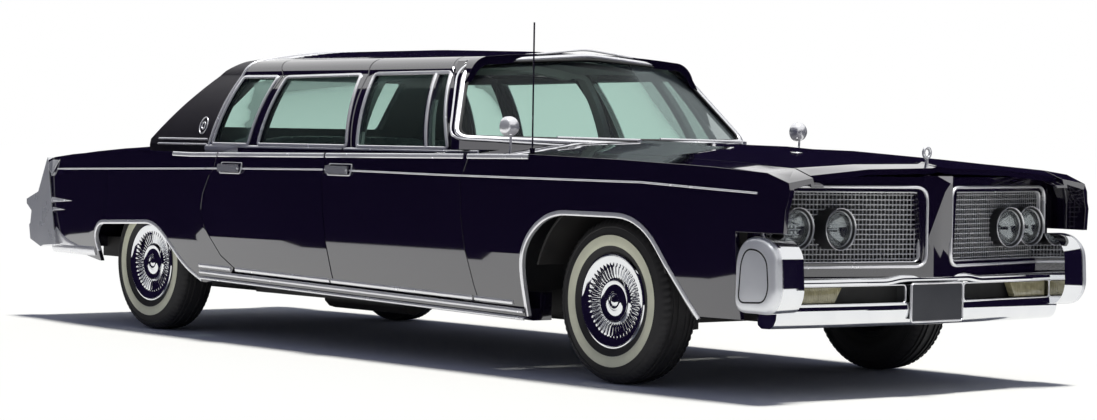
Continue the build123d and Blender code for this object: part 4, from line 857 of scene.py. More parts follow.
# Belt strips and the beads below them: the body that each rides on, and its ends from the body datum (metres).
BELT_SPANS = (("body", -1.330, -0.995), ("{}_rear_door", -1.030, -0.095), ("{}_front_door", -0.078, 0.985))
BEAD_SPANS = (("body", -1.480, -1.052), ("{}_rear_door", -1.040, -0.096), ("{}_front_door", -0.080, 1.010),
              ("body", 1.040, 1.480))
# Profile of the window frames (across, outwards), and the height of the belt strips' top edge.
WINDOW_FRAME = [(-0.009, -0.003), (-0.009, 0.003), (-0.005, 0.006), (0.005, 0.006), (0.009, 0.003), (0.009, -0.003)]
BELT_TOP = 0.9975


def placed(outline):
    """(forwards, height) rows from the body datum, moved into the frame."""
    return np.asarray(outline) + (DATUM_X, 0)


def window_line(outline, count=150):
    """A window's outline, grown a little and rounded at its corners."""
    return closed_line(placed(grown(outline, 0.006)), 0.018, count)


def make_glasshouse(settings):
    """Bright window frames, belt strips, screen surround, roof edge strip and the small ring on the roof side."""
    shells = {name: [] for name in BODIES}
    for side, s in SIDES.items():
        for body, outline in (("body", QUARTER_WINDOW), (f"{side}_rear_door", REAR_WINDOW),
                              (f"{side}_front_door", FRONT_WINDOW)):
            points, outward = on_side(window_line(outline), s, glass_side)
            shells[body].append(swept(points, outward, WINDOW_FRAME, closed=True))
        points, outward = on_side(resampled(placed(VENT_BAR), 24), s, glass_side)
        shells[f"{side}_front_door"].append(swept(points, outward, WINDOW_FRAME))
        for body, start, end in BELT_SPANS:
            x = np.linspace(body_x(start), body_x(end), 60)
            low = np.maximum(waist_height(x) + 0.004, 0.962)
            shells[body.format(side)].append(side_band(x, low, 0 * x + BELT_TOP, s, glass_side, 0.007))
        for body, start, end in BEAD_SPANS:
            x = np.linspace(body_x(start), body_x(end), 60)
            top = waist_height(x) + 0.001
            shells[body.format(side)].append(side_band(x, top - settings.belt * 0.75, top, s, flank_width, 0.005))
        shells["body"].append(roof_edge(s))
        for height in (BELT_TOP, 1.024):
            x = np.linspace(body_x(-1.320), body_x(-1.800), 50)
            low = 0 * x + height - 0.006
            shells["body"].append(side_band(x, low, 0 * x + height + 0.006, s, glass_side, 0.006))
        shells["body"] += roof_ring(s)
    shells["body"] += screen_frames()
    for body, found in shells.items():
        piece(f"{body}_window_trim", found, "bright_trim", body)
    piece("screen_seal", [screen_ring(0.004, [(-0.006, -0.004), (-0.006, 0.003), (0, 0.005), (0.006, 0.003),
                                              (0.006, -0.004)])], "seal", "body")


CROWN_HALF, CROWN_RISE = 0.60, 0.06          # half width and rise of the roof's crown


def crown_drop(y):
    """How far the roof falls away from its middle: R - sqrt(R^2 - y^2)."""
    radius = (CROWN_HALF ** 2 + CROWN_RISE ** 2) / (2 * CROWN_RISE)
    return radius - np.sqrt(radius ** 2 - y ** 2)


def roof_edge(s):
    """The strip that ends the covered roof: up the greenhouse side on a slanted plane, then over the crown, where
    z = top - crown drop(y)."""
    z = np.linspace(0.995, 1.440, 40)
    side = np.stack([glass_width(z), z], 1)
    y = np.linspace(0.590, 0.0, 24)
    over = np.stack([y, 1.500 - crown_drop(y)], 1)
    line = resampled(softened(np.concatenate([side, over]), 0.02), 90)
    x = body_x(ROOF_COVER_EDGE) + ROOF_COVER_LEAN * (line[:, 1] - ROOF_COVER_FOOT)
    slope = unit(np.gradient(line, axis=0))
    outward = np.stack([0 * x, s * slope[:, 1], -slope[:, 0]], 1)
    return swept(np.stack([x, s * line[:, 0], line[:, 1]], 1), outward, oval(0.020, 0.006, 10, 0.004))


def roof_ring(s):
    """A plain ring with a bead in it on the roof side: a small profile carried round an ellipse."""
    turn = np.linspace(0, 2 * math.pi, 48, endpoint=False)
    found = []
    for reach in (0.043, 0.018):
        line = np.stack([body_x(-1.392) + 0.8 * reach * np.cos(turn), 1.095 + reach * np.sin(turn)], 1)
        points, outward = on_side(line, s, glass_side)
        found.append(swept(points, outward, oval(0.007, 0.005), closed=True))
    return found


def screen_point(y, z):
    """The windscreen surface: x = middle + (side - middle) * (y / half width)^2, each a straight line in z."""
    rise = (z - 1.0) / 0.5
    side, half, middle = 0.895 - 0.335 * rise, 0.945 - 0.317 * rise, 1.095 - 0.405 * rise
    return body_x(middle + (side - middle) * (y / half) ** 2)


# Corners of the windscreen's opening, as (across, up).
SCREEN_HOLE = np.array([(-0.885, 1.062), (0.0, 1.058), (0.885, 1.062), (0.680, 1.362), (0.560, 1.412), (0.0, 1.436),
                        (-0.560, 1.412), (-0.680, 1.362)])


def screen_ring(amount, profile):
    """A profile carried round the windscreen's opening, grown by an amount, on the screen's surface."""
    line = closed_line(grown(SCREEN_HOLE, amount), 0.06, 220)
    y, z, step = line[:, 0], line[:, 1], SLOPE_STEP
    slope_y = (screen_point(y + step, z) - screen_point(y - step, z)) / (2 * step)
    slope_z = (screen_point(y, z + step) - screen_point(y, z - step)) / (2 * step)
    outward = unit(np.stack([np.ones_like(y), -slope_y, -slope_z], 1))
    points = np.stack([screen_point(y, z), y, z], 1)
    return swept(points, outward, profile, closed=True)


def screen_frames():
    """A broad rounded moulding round the screen, and a thin one outside it."""
    broad = [(-0.011, -0.004), (-0.011, 0.004), (-0.006, 0.008), (0.006, 0.008), (0.011, 0.004), (0.011, -0.004)]
    thin = [(-0.004, -0.004), (-0.004, 0.004), (0, 0.006), (0.004, 0.004), (0.004, -0.004)]
    return [screen_ring(0.018, broad), screen_ring(0.040, thin)]


# The front.
def nose_x(y):
    """The front line as seen from above: straight runs between three places."""
    return body_x(np.interp(np.abs(y), [0.0, 0.060, 0.900], [3.040, 3.030, 2.850]))


def front_ring(corners, radius, ahead, profile, s, plan=nose_x, count=130):
    """A profile carried round a polygon of (y, z) that lies a distance ahead of the front line."""
    line = closed_line(corners, radius, count)
    y, z = s * line[:, 0], line[:, 1]
    slope = (plan(y + SLOPE_STEP) - plan(y - SLOPE_STEP)) / (2 * SLOPE_STEP)
    outward = unit(np.stack([np.ones_like(y), -slope, 0 * y], 1))
    return swept(np.stack([plan(y) + ahead, y, z], 1), outward, profile, closed=True)


def rectangle(y0, y1, z0, z1):
    """Corners of an upright rectangle, as (across, up)."""
    return [(y0, z0), (y1, z0), (y1, z1), (y0, z1)]


def grille_bars(s):
    """Upright and level bars, each a small diamond profile carried along the front line."""
    bar = [(-0.0016, 0), (0, 0.004), (0.0016, 0), (0, -0.004)]
    level = [(-0.0024, 0), (0, 0.003), (0.0024, 0), (0, -0.003)]
    found = []
    for y in np.linspace(0.106, 0.834, 41):
        path = np.array([(nose_x(y) - 0.033, s * y, 0.562), (nose_x(y) - 0.033, s * y, 0.858)])
        found.append(swept(path, [(1, 0, 0)] * 2, bar))
    y = np.linspace(0.098, 0.842, 12)
    for z in np.linspace(0.576, 0.844, 14):
        path = np.stack([nose_x(y) - 0.028, s * y, 0 * y + z], 1)
        found.append(swept(path, [(1, 0, 0)] * len(y), level))
    return found


# Headlamps: forwards of the body datum, out, up; the radius of a lamp's glass, and that of its black drum (metres).
LAMPS = ((2.915, 0.713, 0.705), (2.967, 0.521, 0.703))
LENS_RADIUS, DRUM_RADIUS = 0.0729, 0.0850


def lamp_shells(x, y, z):
    """Turned about the lamp's own axis: a black drum with a thin bright lip, a bright ring, a bowl whose depth is
    depth * (1 - (r/R)^2), and a lens that bulges by the same rule."""
    centre = (body_x(x), y, z)
    drum = [(-0.105, 0.0), (-0.105, DRUM_RADIUS), (-0.004, DRUM_RADIUS)]
    lip = [(-0.004, DRUM_RADIUS), (0.002, 0.0880), (0.005, 0.0866), (0.002, 0.0842), (-0.002, 0.0838)]
    well = [(-0.002, 0.0838), (-0.016, 0.0765)]
    band = [(-0.016, 0.0765), (-0.010, 0.0762), (-0.008, 0.0748), (-0.010, 0.0734), (-0.016, 0.0730)]
    share = np.linspace(1, 0, 12)
    bulge = 0.018 * (1 - share ** 2)
    bowl = np.stack([-0.016 - 0.050 * (1 - share ** 2), 0.0730 * share], 1)
    lens = np.concatenate([np.stack([-0.012 + bulge, LENS_RADIUS * share], 1),
                           np.stack([-0.015 + bulge, LENS_RADIUS * share], 1)[::-1]])
    return [turned(profile, centre, "x", 48, material)
            for profile, material in ((drum, 1), (lip, 0), (well, 1), (band, 0), (bowl, 3), (lens, 2))]


def make_front():
    """Grille, its frames, lamps, parking lamps, the edge lines of the bumper, and dark pieces of painted shade."""
    bars, rings, dark, lamps, parking = [], [], [], [], []
    for s in SIDES.values():
        bars += grille_bars(s)
        rings.append(front_ring(rectangle(0.074, 0.862, 0.545, 0.877), 0.055, 0.002,
                                oval(0.013, 0.009, 10, 0.006), s))
        rings.append(front_ring(rectangle(0.099, 0.841, 0.564, 0.856), 0.030, -0.014,
                                oval(0.008, 0.008, 10, 0.010), s))
        rings.append(front_ring(rectangle(0.178, 0.800, 0.394, 0.470), 0.016, 0.0005, oval(0.006, 0.004), s, bow_x))
        # painted shade: dark sheets behind the grille bars and at the bottom of the bumper's slot
        dark += [slot_floor(s), grille_back(s)]
        parking += parking_lens(s)
        for x, y, z in LAMPS:
            lamps += lamp_shells(x, s * y, z)
    plate = closed_line(rectangle(-0.157, 0.157, 0.3125, 0.4735), 0.012, 100)
    points = np.stack([0 * plate[:, 0] + body_x(3.0265), plate[:, 0], plate[:, 1]], 1)
    rings.append(swept(points, [(1, 0, 0)] * len(points), oval(0.008, 0.006, 10, 0.004), closed=True))
    # painted shade: a dark line on each bumper end's side face
    dark += [pod_ring(s, 0.040, oval(0.007, 0.0012)) for s in SIDES.values()]
    piece("grille_mesh", bars, "bright_trim", "body", ["grille"], 60)
    piece("front_frames", rings, "bright_trim", "body")
    piece("front_shadows", dark, "seal", "body")
    piece("headlamp_units", lamps, ["bright_trim", "dash_plastic", "clear", "bowl"], "body", ["headlamps"],
          40)
    piece("parking_lenses", parking, "amber_lens", "body", ["parking_lamps"])


def pod_ring(s, inset, profile):
    """A line inside the edge of a bumper end's side face, drawn dark as painted shade just inside its rounded edge."""
    line = closed_line(placed(grown(POD_FACE, -inset)), 0.06, 90)
    points = np.stack([line[:, 0], 0 * line[:, 0] + s * 0.9645, line[:, 1]], 1)
    return swept(points, [(0, s, 0)] * len(points), profile, closed=True)


def upright_sheet(x, y, low, high, s):
    """A sheet 3 mm thick that stands on a front line x(y): a thin rectangle carried across the car."""
    corners = [(0.0, low), (0.0, high), (-0.003, high), (-0.003, low)]
    points = np.stack([np.stack([x + dx, s * y, 0 * y + z], 1) for dx, z in corners], 1)
    return shell(closed_ends(points), along=True)


def grille_back(s):
    """A dark sheet of painted shade behind the bars, along the front line."""
    y = np.linspace(0.096, 0.844, 20)
    return upright_sheet(nose_x(y) - 0.070, y, 0.561, 0.859, s)


def slot_floor(s):
    """A dark sheet of painted shade at the bottom of the bumper's slot."""
    y = np.linspace(0.176, 0.789, 20)
    return upright_sheet(bow_x(y) - 0.056, y, 0.399, 0.465, s)


def parking_lens(s):
    """A lens with a slanted inner end: y from the outer end to a line that leans with the height, the face bulging
    by bulge * sqrt(sin(pi u) * sin(pi v))."""
    u, v = np.meshgrid(np.linspace(0, 1, 24), np.linspace(0, 1, 9), indexing="ij")
    z = 0.401 + 0.062 * v
    y = 0.787 - (0.251 + 0.036 * (v - 0.5)) * u
    bulge = np.sqrt(np.sin(np.pi * np.clip(u, 0.001, 0.999)) * np.sin(np.pi * np.clip(v, 0.001, 0.999)))
    front = np.stack([bow_x(y) - 0.016 + 0.006 * bulge, s * y, z], -1)
    back = np.stack([bow_x(y) - 0.050, s * y, z], -1)
    wall = np.stack([np.concatenate([face[:, 0], face[-1, 1:], face[-2::-1, -1], face[0, -2:0:-1]])
                     for face in (front, back)])
    return [shell(front), shell(back), shell(np.concatenate([wall, wall[:, :1]], 1))]


# The handles and the rear end.

# Handles: which door of a side, the rear end from the body datum and the foot of the tray (metres).
HANDLES = (("rear", -0.990, 0.862), ("front", -0.032, 0.871))
TAIL_LAMP = (-2.9065, 0.640, 0.690)          # forwards of the body datum, out, up


def make_fittings():
    """Rims of the door handles, the rear ends' spears and caps, and the bright lines of the rear."""
    for side, s in SIDES.items():
        for end, start, low in HANDLES:
            piece(f"{side}_{end}_handle", handle_shells(start, low, s), "bright_trim", f"{side}_{end}_door")
    shells = []
    for s in SIDES.values():
        shells += [spear(-3.090, -2.560, 0.668, 0.026, s), spear(-3.080, -2.660, 0.616, 0.022, s)]
        x = np.linspace(body_x(-2.900), body_x(-2.330), 60)
        shells.append(side_band(x, 0 * x + 0.372, 0 * x + 0.424, s, flank_width, 0.008))
        shells.append(cap_sheet(s))
    shells += rear_lines()
    piece("rear_spears", shells, "bright_trim", "body")


def rear_lines():
    """Bright rings and knobs on the tail lamps, two lines across the tail panel and a frame round the back window."""
    found = []
    rim = [(0.000, 0.0760), (-0.010, 0.0760), (-0.016, 0.0735), (-0.018, 0.0700), (-0.016, 0.0660), (-0.008, 0.0635),
           (0.000, 0.0635)]
    knob = [(0.0, 0.026), (-0.022, 0.026), (-0.026, 0.022), (-0.028, 0.0)]
    for s in SIDES.values():
        x, y, z = TAIL_LAMP
        found += [turned(rim, (body_x(x), s * y, z), "x", 48), turned(knob, (body_x(x), s * y, z), "x", 32)]
    y = np.linspace(-0.735, 0.735, 30)
    for height in (0.590, 0.856):
        path = np.stack([0 * y + body_x(-2.9062), y, 0 * y + height], 1)
        found.append(swept(path, [(-1, 0, 0)] * len(y), oval(0.014, 0.006)))
    line = closed_line([(-0.575, 1.078), (0.575, 1.078), (0.494, 1.357), (-0.494, 1.357)], 0.05, 160)
    x = body_x(np.interp(line[:, 1], [1.020, 1.204, 1.385], [-1.885, -1.655, -1.420]))
    path = np.stack([x, line[:, 0], line[:, 1]], 1)
    found.append(swept(path, [(-0.617, 0, 0.787)] * len(path), oval(0.018, 0.007, 10, 0.004), closed=True))
    return found


# Outline of the rear ends' plating: height, and its front edge from the body datum (metres).
CAP_ROWS = np.array([(0.412, -2.500), (0.428, -2.560), (0.446, -2.650), (0.480, -2.750), (0.530, -2.840),
                     (0.580, -2.872), (0.604, -2.872), (0.616, -2.660), (0.628, -2.862), (0.652, -2.862),
                     (0.668, -2.560), (0.684, -2.868), (0.720, -2.878), (0.800, -2.872), (0.842, -2.850),
                     (0.880, -2.810), (0.892, -2.790)])


def cap_sheet(s):
    """Plating over the rear end of the side: x runs from the back edge to a drawn outline of the height, y lies on
    the side plus a lift that fades at the edges by (1 - u^8)."""
    z = np.unique(np.concatenate([np.linspace(0.412, 0.892, 150), CAP_ROWS[:, 0]]))
    u = np.linspace(0, 1, 24)
    front = body_x(np.interp(z, CAP_ROWS[:, 0], CAP_ROWS[:, 1]))
    back = body_x(-2.8985)
    x = back + (front[:, None] - back) * u
    lift = 0.0005 + 0.0045 * (1 - u ** 8)
    y = flank_width(x, z[:, None] + 0 * x)
    outer = np.stack([x, s * (y + lift), z[:, None] + 0 * x], -1)
    inner = np.stack([x, s * (y - 0.002), z[:, None] + 0 * x], -1)[:, ::-1]
    return shell(closed_ends(np.concatenate([outer, inner], 1)), along=True)


def handle_shells(start, low, s):
    """The bright rim of a handle's tray: an oval profile carried round a rectangle with soft corners."""
    outline = closed_line(rectangle(body_x(start - 0.006), body_x(start + 0.182), low - 0.008, low + 0.046), 0.006, 80)
    points, outward = on_side(outline, s)
    return [swept(points, outward, oval(0.006, 0.005), closed=True)]


def spear(start, end, height, thick, s):
    """A tapering form on the rear flank: its half height is thick / 2 * sqrt(1 - (t / 0.25)^2) at the round end,
    t < 0, and thick / 2 * (1 - t) towards the point; outwards it is 0.6 of that."""
    t = np.linspace(-0.25, 1, 40)
    x = body_x(start) + (body_x(end) - body_x(start)) * (t + 0.25) / 1.25
    reach = thick * np.where(t < 0, np.sqrt(np.clip(1 - (t / 0.25) ** 2, 0, 1)), 1 - t) * 0.5
    turn = np.linspace(0, 2 * math.pi, 16, endpoint=False)
    y = np.minimum(flank_width(x, 0 * x + height), 0.93) + 0.002
    points = np.stack([x[:, None] + 0 * turn, s * (y[:, None] + 0.6 * reach[:, None] * np.cos(turn)),
                       height + reach[:, None] * np.sin(turn)], -1)
    return shell(closed_ends(points), along=True)


# The front bumper.
def bow_x(y):
    """The bumper's front line: x = middle - bow * |y|^2.13."""
    return body_x(3.015 - 0.102 * np.abs(y) ** 2.13)


# Outlines of the bumper's bars, as (ahead of the bow line, height), and of its ends' side faces (metres).
LOWER_BLADE = [(0.000, 0.398), (0.005, 0.388), (0.007, 0.366), (0.003, 0.336), (-0.010, 0.312), (-0.032, 0.298),
               (-0.080, 0.297), (-0.104, 0.312), (-0.104, 0.398)]
UPPER_BLADE = [(0.000, 0.466), (0.006, 0.474), (0.006, 0.488), (-0.002, 0.499), (-0.020, 0.504), (-0.104, 0.502),
               (-0.104, 0.466)]
PLATE_BACK = [(-0.012, 0.392), (-0.012, 0.472), (-0.104, 0.472), (-0.104, 0.392)]
POD_FACE = np.array([(2.796, 0.362), (2.796, 0.600), (2.850, 0.673), (2.960, 0.673), (3.035, 0.615), (3.045, 0.430),
                     (3.000, 0.362)])


def blade(outline, y, rise):
    """A bumper blade: an outline of (ahead, height) carried across the car along the bow line."""
    outline = closed_line(outline, 0.004, 44)
    x = bow_x(y)[:, None] + outline[:, 0]
    z = outline[:, 1] + rise[:, None]
    return shell(closed_ends(np.stack([x, y[:, None] + 0 * x, z], -1)), along=True)


def pod(s):
    """A bumper end: its side outline carried outwards and drawn in towards its face like a pillow."""
    rows = ((0.800, 0.000), (0.930, 0.000), (0.942, 0.002), (0.952, 0.007), (0.959, 0.014), (0.963, 0.024),
            (0.9645, 0.036))
    sections = []
    for y, inset in rows:
        line = closed_line(grown(POD_FACE, -inset), 0.075, 96)
        sections.append(np.stack([body_x(line[:, 0]), 0 * line[:, 0] + s * y, line[:, 1]], 1))
    return shell(closed_ends(np.array(sections)), along=True)


def make_bumper():
    """Two blades with a slot between them, the block behind the plate, and the two end pods."""
    y = np.linspace(-0.86, 0.86, 180)
    step = np.clip((0.300 - np.abs(y)) / 0.110, 0, 1)
    shells = [blade(LOWER_BLADE, y, 0 * y), blade(UPPER_BLADE, y, 0.012 * step ** 2 * (3 - 2 * step)),
              blade(PLATE_BACK, np.linspace(-0.175, 0.175, 12), np.zeros(12))]
    shells += [pod(s) for s in SIDES.values()]
    piece("front_bumper_skin", shells, "bumper_plating", "body", ["front_bumper"], 50)


def make_mirrors():
    """Door mirrors: a round bright head turned about its own axis, with glass at the back, on a stem and a foot."""
    shells = []
    head = [(-0.020, 0.041), (-0.024, 0.043), (-0.024, 0.0455), (-0.016, 0.0460), (-0.002, 0.0455), (0.010, 0.0415),
            (0.020, 0.0335), (0.027, 0.0200), (0.030, 0.0)]
    flare = [(-0.012, 0.0), (-0.012, 0.026), (-0.006, 0.025), (0.002, 0.012), (0.010, 0.0060)]
    for s in SIDES.values():
        top, foot = np.array([body_x(1.262), s * 0.905, 1.108]), np.array([body_x(1.246), s * 0.900, 0.968])
        shells += [turned(head, top, "x", 40), turned([(-0.020, 0.041), (-0.0195, 0.0)], top, "x", 40, 1)]
        t = np.linspace(0, 1, 12)[:, None]
        path = foot + (top - (0, 0, 0.040) - foot) * t + np.array([0.006, 0, 0]) * np.sin(math.pi * t)
        shells.append(swept(path, [(1, 0, 0)] * 12, ring(0.0055)))
        shells.append(turned(flare, foot, "z", 24))
    piece("door_mirrors", shells, ["bright_trim", "chrome"], "body", ["mirrors"], 40)


def make_ornament():
    """A bright ring on a short turned post at the hood's tip: a round profile carried round an ellipse."""
    turn = np.linspace(0, 2 * math.pi, 40, endpoint=False)
    centre = np.array([body_x(2.952), 0.0, 1.022])
    out = np.stack([0 * turn, np.cos(turn), np.sin(turn)], 1)
    loop = swept(centre + out * (0, 0.020, 0.022), out, ring(0.0075), closed=True)
    post = turned([(-0.062, 0.0), (-0.062, 0.020), (-0.054, 0.019), (-0.048, 0.009), (-0.026, 0.0075), (-0.018, 0.0)],
                  centre, "z", 24)
    piece("hood_ornament", [loop, post], "bright_trim", "hood")


# The seats.

# Each pad: name, middle, and half lengths along its own two slanted axes (forwards and up), half width.
PADS = (("front_cushion", (0.250, 0.485), (0.215, 0.006), (0.000, 0.105), 0.665),
        ("front_backrest", (-0.045, 0.800), (0.050, 0.012), (-0.062, 0.250), 0.665),
        ("rear_cushion", (-0.960, 0.500), (0.185, 0.010), (0.000, 0.112), 0.665),
        ("rear_backrest", (-1.240, 0.820), (0.050, 0.012), (-0.040, 0.240), 0.665))
PAD_VOXEL, PAD_PRESSURE, PAD_RISE = 0.011, 4, 0.014       # remesh size, cloth pressure, furthest move of a point
CLOTH_FRAMES = 20
CHANNEL_PITCH, CHANNEL_DEPTH, CHANNEL_WIDTH = 0.085, 0.008, 0.007       # metres


def pad_grid(middle, first, second, half):
    """A rounded box on slanted axes, a superellipsoid: each of sine and cosine is raised to a small power."""
    def power(values):
        """The sign of each value times its size to the power of 0.42."""
        return np.sign(values) * np.abs(values) ** 0.42

    rise, turn = np.meshgrid(np.linspace(-math.pi / 2, math.pi / 2, 41),
                             np.linspace(0, 2 * math.pi, 96, endpoint=False), indexing="ij")
    a = power(np.cos(rise)) * power(np.cos(turn))
    b = power(np.cos(rise)) * power(np.sin(turn))
    c = power(np.sin(rise))
    x = body_x(middle[0]) + a * first[0] + c * second[0]
    z = middle[1] + a * first[1] + c * second[1]
    return shell(np.stack([x, half * b, z], -1), along=True)


def evaluated(made):
    """A new mesh of an object with its modifiers applied."""
    graph = bpy.context.evaluated_depsgraph_get()
    return bpy.data.meshes.new_from_object(made.evaluated_get(graph))


def places(mesh):
    """The places of a mesh's points, one row each."""
    points = np.empty(len(mesh.vertices) * 3)
    mesh.vertices.foreach_get("co", points)
    return points.reshape(-1, 3)


def puffed(made):
    """Blows a pad up as cloth: remeshed, pressed from inside without gravity, and no point moved beyond a cap."""
    remesh = made.modifiers.new("Even", "REMESH")
    remesh.mode, remesh.voxel_size = "VOXEL", PAD_VOXEL
    made.data = evaluated(made)
    made.modifiers.clear()
    before = places(made.data)
    cloth = made.modifiers.new("Cloth", "CLOTH")
    cloth.settings.use_pressure = True
    cloth.settings.uniform_pressure_force = PAD_PRESSURE
    cloth.settings.effector_weights.gravity = 0
    for number in range(1, CLOTH_FRAMES + 1):
        bpy.context.scene.frame_set(number)
    move = places(evaluated(made)) - before
    made.modifiers.clear()
    bpy.context.scene.frame_set(1)
    reach = np.linalg.norm(move, axis=1, keepdims=True)
    share = np.minimum(1, PAD_RISE / np.maximum(reach, 1e-9))
    made.data.vertices.foreach_set("co", (before + move * share).ravel())
    finer = made.modifiers.new("Finer", "SUBSURF")
    finer.levels = finer.render_levels = 1
    made.data = evaluated(made)
    made.modifiers.clear()


def channelled(made, keep_in):
    """Sews channels: points near every pitch across the car sink along their normals by depth * exp(-(d/w)^2)."""
    points = places(made.data)
    normals = np.empty(len(made.data.vertices) * 3)
    made.data.vertices.foreach_get("normal", normals)
    normals = normals.reshape(-1, 3)
    distance = np.abs((points[:, 1] / CHANNEL_PITCH) % 1.0 - 0.5) * CHANNEL_PITCH
    inside = np.clip((keep_in - np.abs(points[:, 1])) / 0.03, 0, 1)
    sink = CHANNEL_DEPTH * np.exp(-(distance / CHANNEL_WIDTH) ** 2) * inside
    made.data.vertices.foreach_set("co", (points - normals * sink[:, None]).ravel())
    made.data.update()
    made.data.polygons.foreach_set("use_smooth", np.ones(len(made.data.polygons), bool))


def make_liner():
    """Pale cloth under the roof: z = top - crown drop(y), with faint cross seams every 0.3 m."""
    x, y = np.meshgrid(np.linspace(body_x(-1.200), body_x(0.500), 120), np.linspace(-0.580, 0.580, 48), indexing="ij")
    seam = np.exp(-(((x / 0.3) % 1.0 - 0.5) * 0.3 / 0.008) ** 2)
    z = 1.452 - crown_drop(y) - 0.012 * np.clip((x - body_x(-0.3)) / 0.8, 0, 1)
    lower = np.stack([x, y, z - 0.004 + 0.003 * seam], -1)
    upper = np.stack([x, y, z], -1)[:, ::-1]
    piece("head_lining", [shell(closed_ends(np.concatenate([lower, upper], 1)), along=True)], "liner", "body")


def make_seats():
    """Two bench seats, each of a cushion and a backrest."""
    for name, middle, first, second, half in PADS:
        made = piece(name, [pad_grid(middle, first, second, half)], "leather", "body",
                     ["front_seat" if name.startswith("front") else "rear_seat"], 80)
        puffed(made)
        made.data.name = name
        if not made.data.materials:
            made.data.materials.append(MATERIALS["leather"])
        channelled(made, half - 0.06)


# The stage.

# Dark cards that only gloss sees: two opposite corners of each upright rectangle (metres).
CARDS = {"near_card": ((-16.0, -2.6, 0.02), (7.0, -2.6, 5.2)), "left_card": ((-12.0, 2.6, 0.02), (7.0, 2.6, 1.0)),
         "far_card": ((-60.0, 9.0, 0.0), (12.0, 9.0, 4.6)), "rear_card": ((-5.6, -5.0, 0.02), (-5.6, 5.0, 1.1)),
         "front_card": ((10.0, -3.0, 0.25), (10.0, 32.0, 3.4))}
FLOOR_REACH = 150.0                  # metres from the middle to each edge
FLOOR_COLOUR = (0.98, 0.97, 0.90)
SHADE_LIGHT = (0.55, 0.62, 1.0)      # colour of the light that fills the shadows
SUN_ENERGY, SUN_ANGLE, SUN_TILT = 2.9, 9, (-6, 4, 0)      # watts per square metre, then degrees


def dark_card(name, corners, material):
    """An upright rectangle between two corners, unseen by the camera and by diffuse light."""
    (x0, y0, z0), (x1, y1, z1) = corners
    mesh = bpy.data.meshes.new(name)
    mesh.from_pydata([(x0, y0, z0), (x1, y1, z0), (x1, y1, z1), (x0, y0, z1)], [], [(0, 1, 2, 3)])
    mesh.materials.append(material)
    card = bpy.data.objects.new(name, mesh)
    bpy.context.scene.collection.objects.link(card)
    card.visible_camera = card.visible_diffuse = card.visible_transmission = card.visible_shadow = False
    return card


def make_stage():
    """Pale floor, dark cards that only gloss sees, light, and the camera."""
    scene = bpy.context.scene
    scene.view_settings.view_transform = "Standard"
    floor_mesh = bpy.data.meshes.new("floor")
    floor_mesh.from_pydata([(x * FLOOR_REACH, y * FLOOR_REACH, 0) for x, y in ((-1, -1), (1, -1), (1, 1), (-1, 1))],
                           [], [(0, 1, 2, 3)])
    floor = bpy.data.objects.new("floor", floor_mesh)
    scene.collection.objects.link(floor)
    floor_mesh.materials.append(finish("floor_white", FLOOR_COLOUR, 0.9, Specular_IOR_Level=0.0))
    navy = finish("card_navy", (0.012, 0.008, 0.03), 1.0, Specular_IOR_Level=0.0)
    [dark_card(name, corners, navy) for name, corners in CARDS.items()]
    light_world(scene)
    light_sun(scene)
    aim_camera(scene)


def light_world(scene):
    """The sky: white and strong where the camera, gloss or glass look at it, and a dim tint of light elsewhere:
    strength = 0.80 * seen + 0.20."""
    world = bpy.data.worlds.new("studio")
    world.use_nodes = True
    scene.world = world
    tree = world.node_tree
    tree.nodes.clear()
    path = tree.nodes.new("ShaderNodeLightPath")
    seen = Field(tree, path.outputs["Is Camera Ray"])
    for ray in ("Is Glossy Ray", "Is Transmission Ray"):
        seen = seen.maths("MAXIMUM", seen, Field(tree, path.outputs[ray]))
    back = tree.nodes.new("ShaderNodeBackground")
    tree.links.new(seen.between(SHADE_LIGHT, (1.0, 1.0, 1.0)).socket, back.inputs["Color"])
    tree.links.new((seen * 0.80 + 0.20).socket, back.inputs["Strength"])
    out = tree.nodes.new("ShaderNodeOutputWorld")
    tree.links.new(back.outputs[0], out.inputs["Surface"])


def light_sun(scene):
    """One broad lamp, nearly straight above."""
    sun = bpy.data.lights.new("overhead", "SUN")
    sun.energy = SUN_ENERGY
    sun.angle = math.radians(SUN_ANGLE)
    lamp = bpy.data.objects.new("overhead", sun)
    lamp.rotation_euler = tuple(math.radians(turn) for turn in SUN_TILT)
    scene.collection.objects.link(lamp)


def aim_camera(scene):
    """The photo's camera: look = (-sin yaw cos pitch, cos yaw cos pitch, -sin pitch), then turned by the roll."""
    data = bpy.data.cameras.new("photo_camera")
    data.sensor_width, data.sensor_fit = SENSOR_WIDTH, "HORIZONTAL"
    data.lens = CAMERA_FOCAL * SENSOR_WIDTH / PHOTO_WIDTH
    data.clip_end = 500
    camera = bpy.data.objects.new("photo_camera", data)
    scene.collection.objects.link(camera)
    yaw, pitch, roll = CAMERA_TURN
    look = np.array([-math.sin(yaw) * math.cos(pitch), math.cos(yaw) * math.cos(pitch), -math.sin(pitch)])
    right = unit(np.cross(look, (0, 0, 1)))
    up = np.cross(right, look)
    right, up = (math.cos(roll) * right + math.sin(roll) * up, -math.sin(roll) * right + math.cos(roll) * up)
    place = np.array(CAMERA_FROM_AXLE) + (FRONT_AXLE[0], 0, 0)
    rows = [(*row, p) for row, p in zip(np.stack([right, up, -look], 1), place)]
    camera.matrix_world = Matrix(rows + [(0, 0, 0, 1)])
    scene.camera = camera


PHOTO_WIDTH = 1097                                    # pixels of the photograph
SENSOR_WIDTH = 36.0                                   # millimetres
CAMERA_FOCAL = 2797.34                                # focal length in the same pixels
CAMERA_FROM_AXLE = (9.13761, -8.74168, 1.06080)       # metres from the foot of the front axle's middle
CAMERA_TURN = (0.8834, 0.0259, 0.016)                 # yaw, pitch down and roll, radians


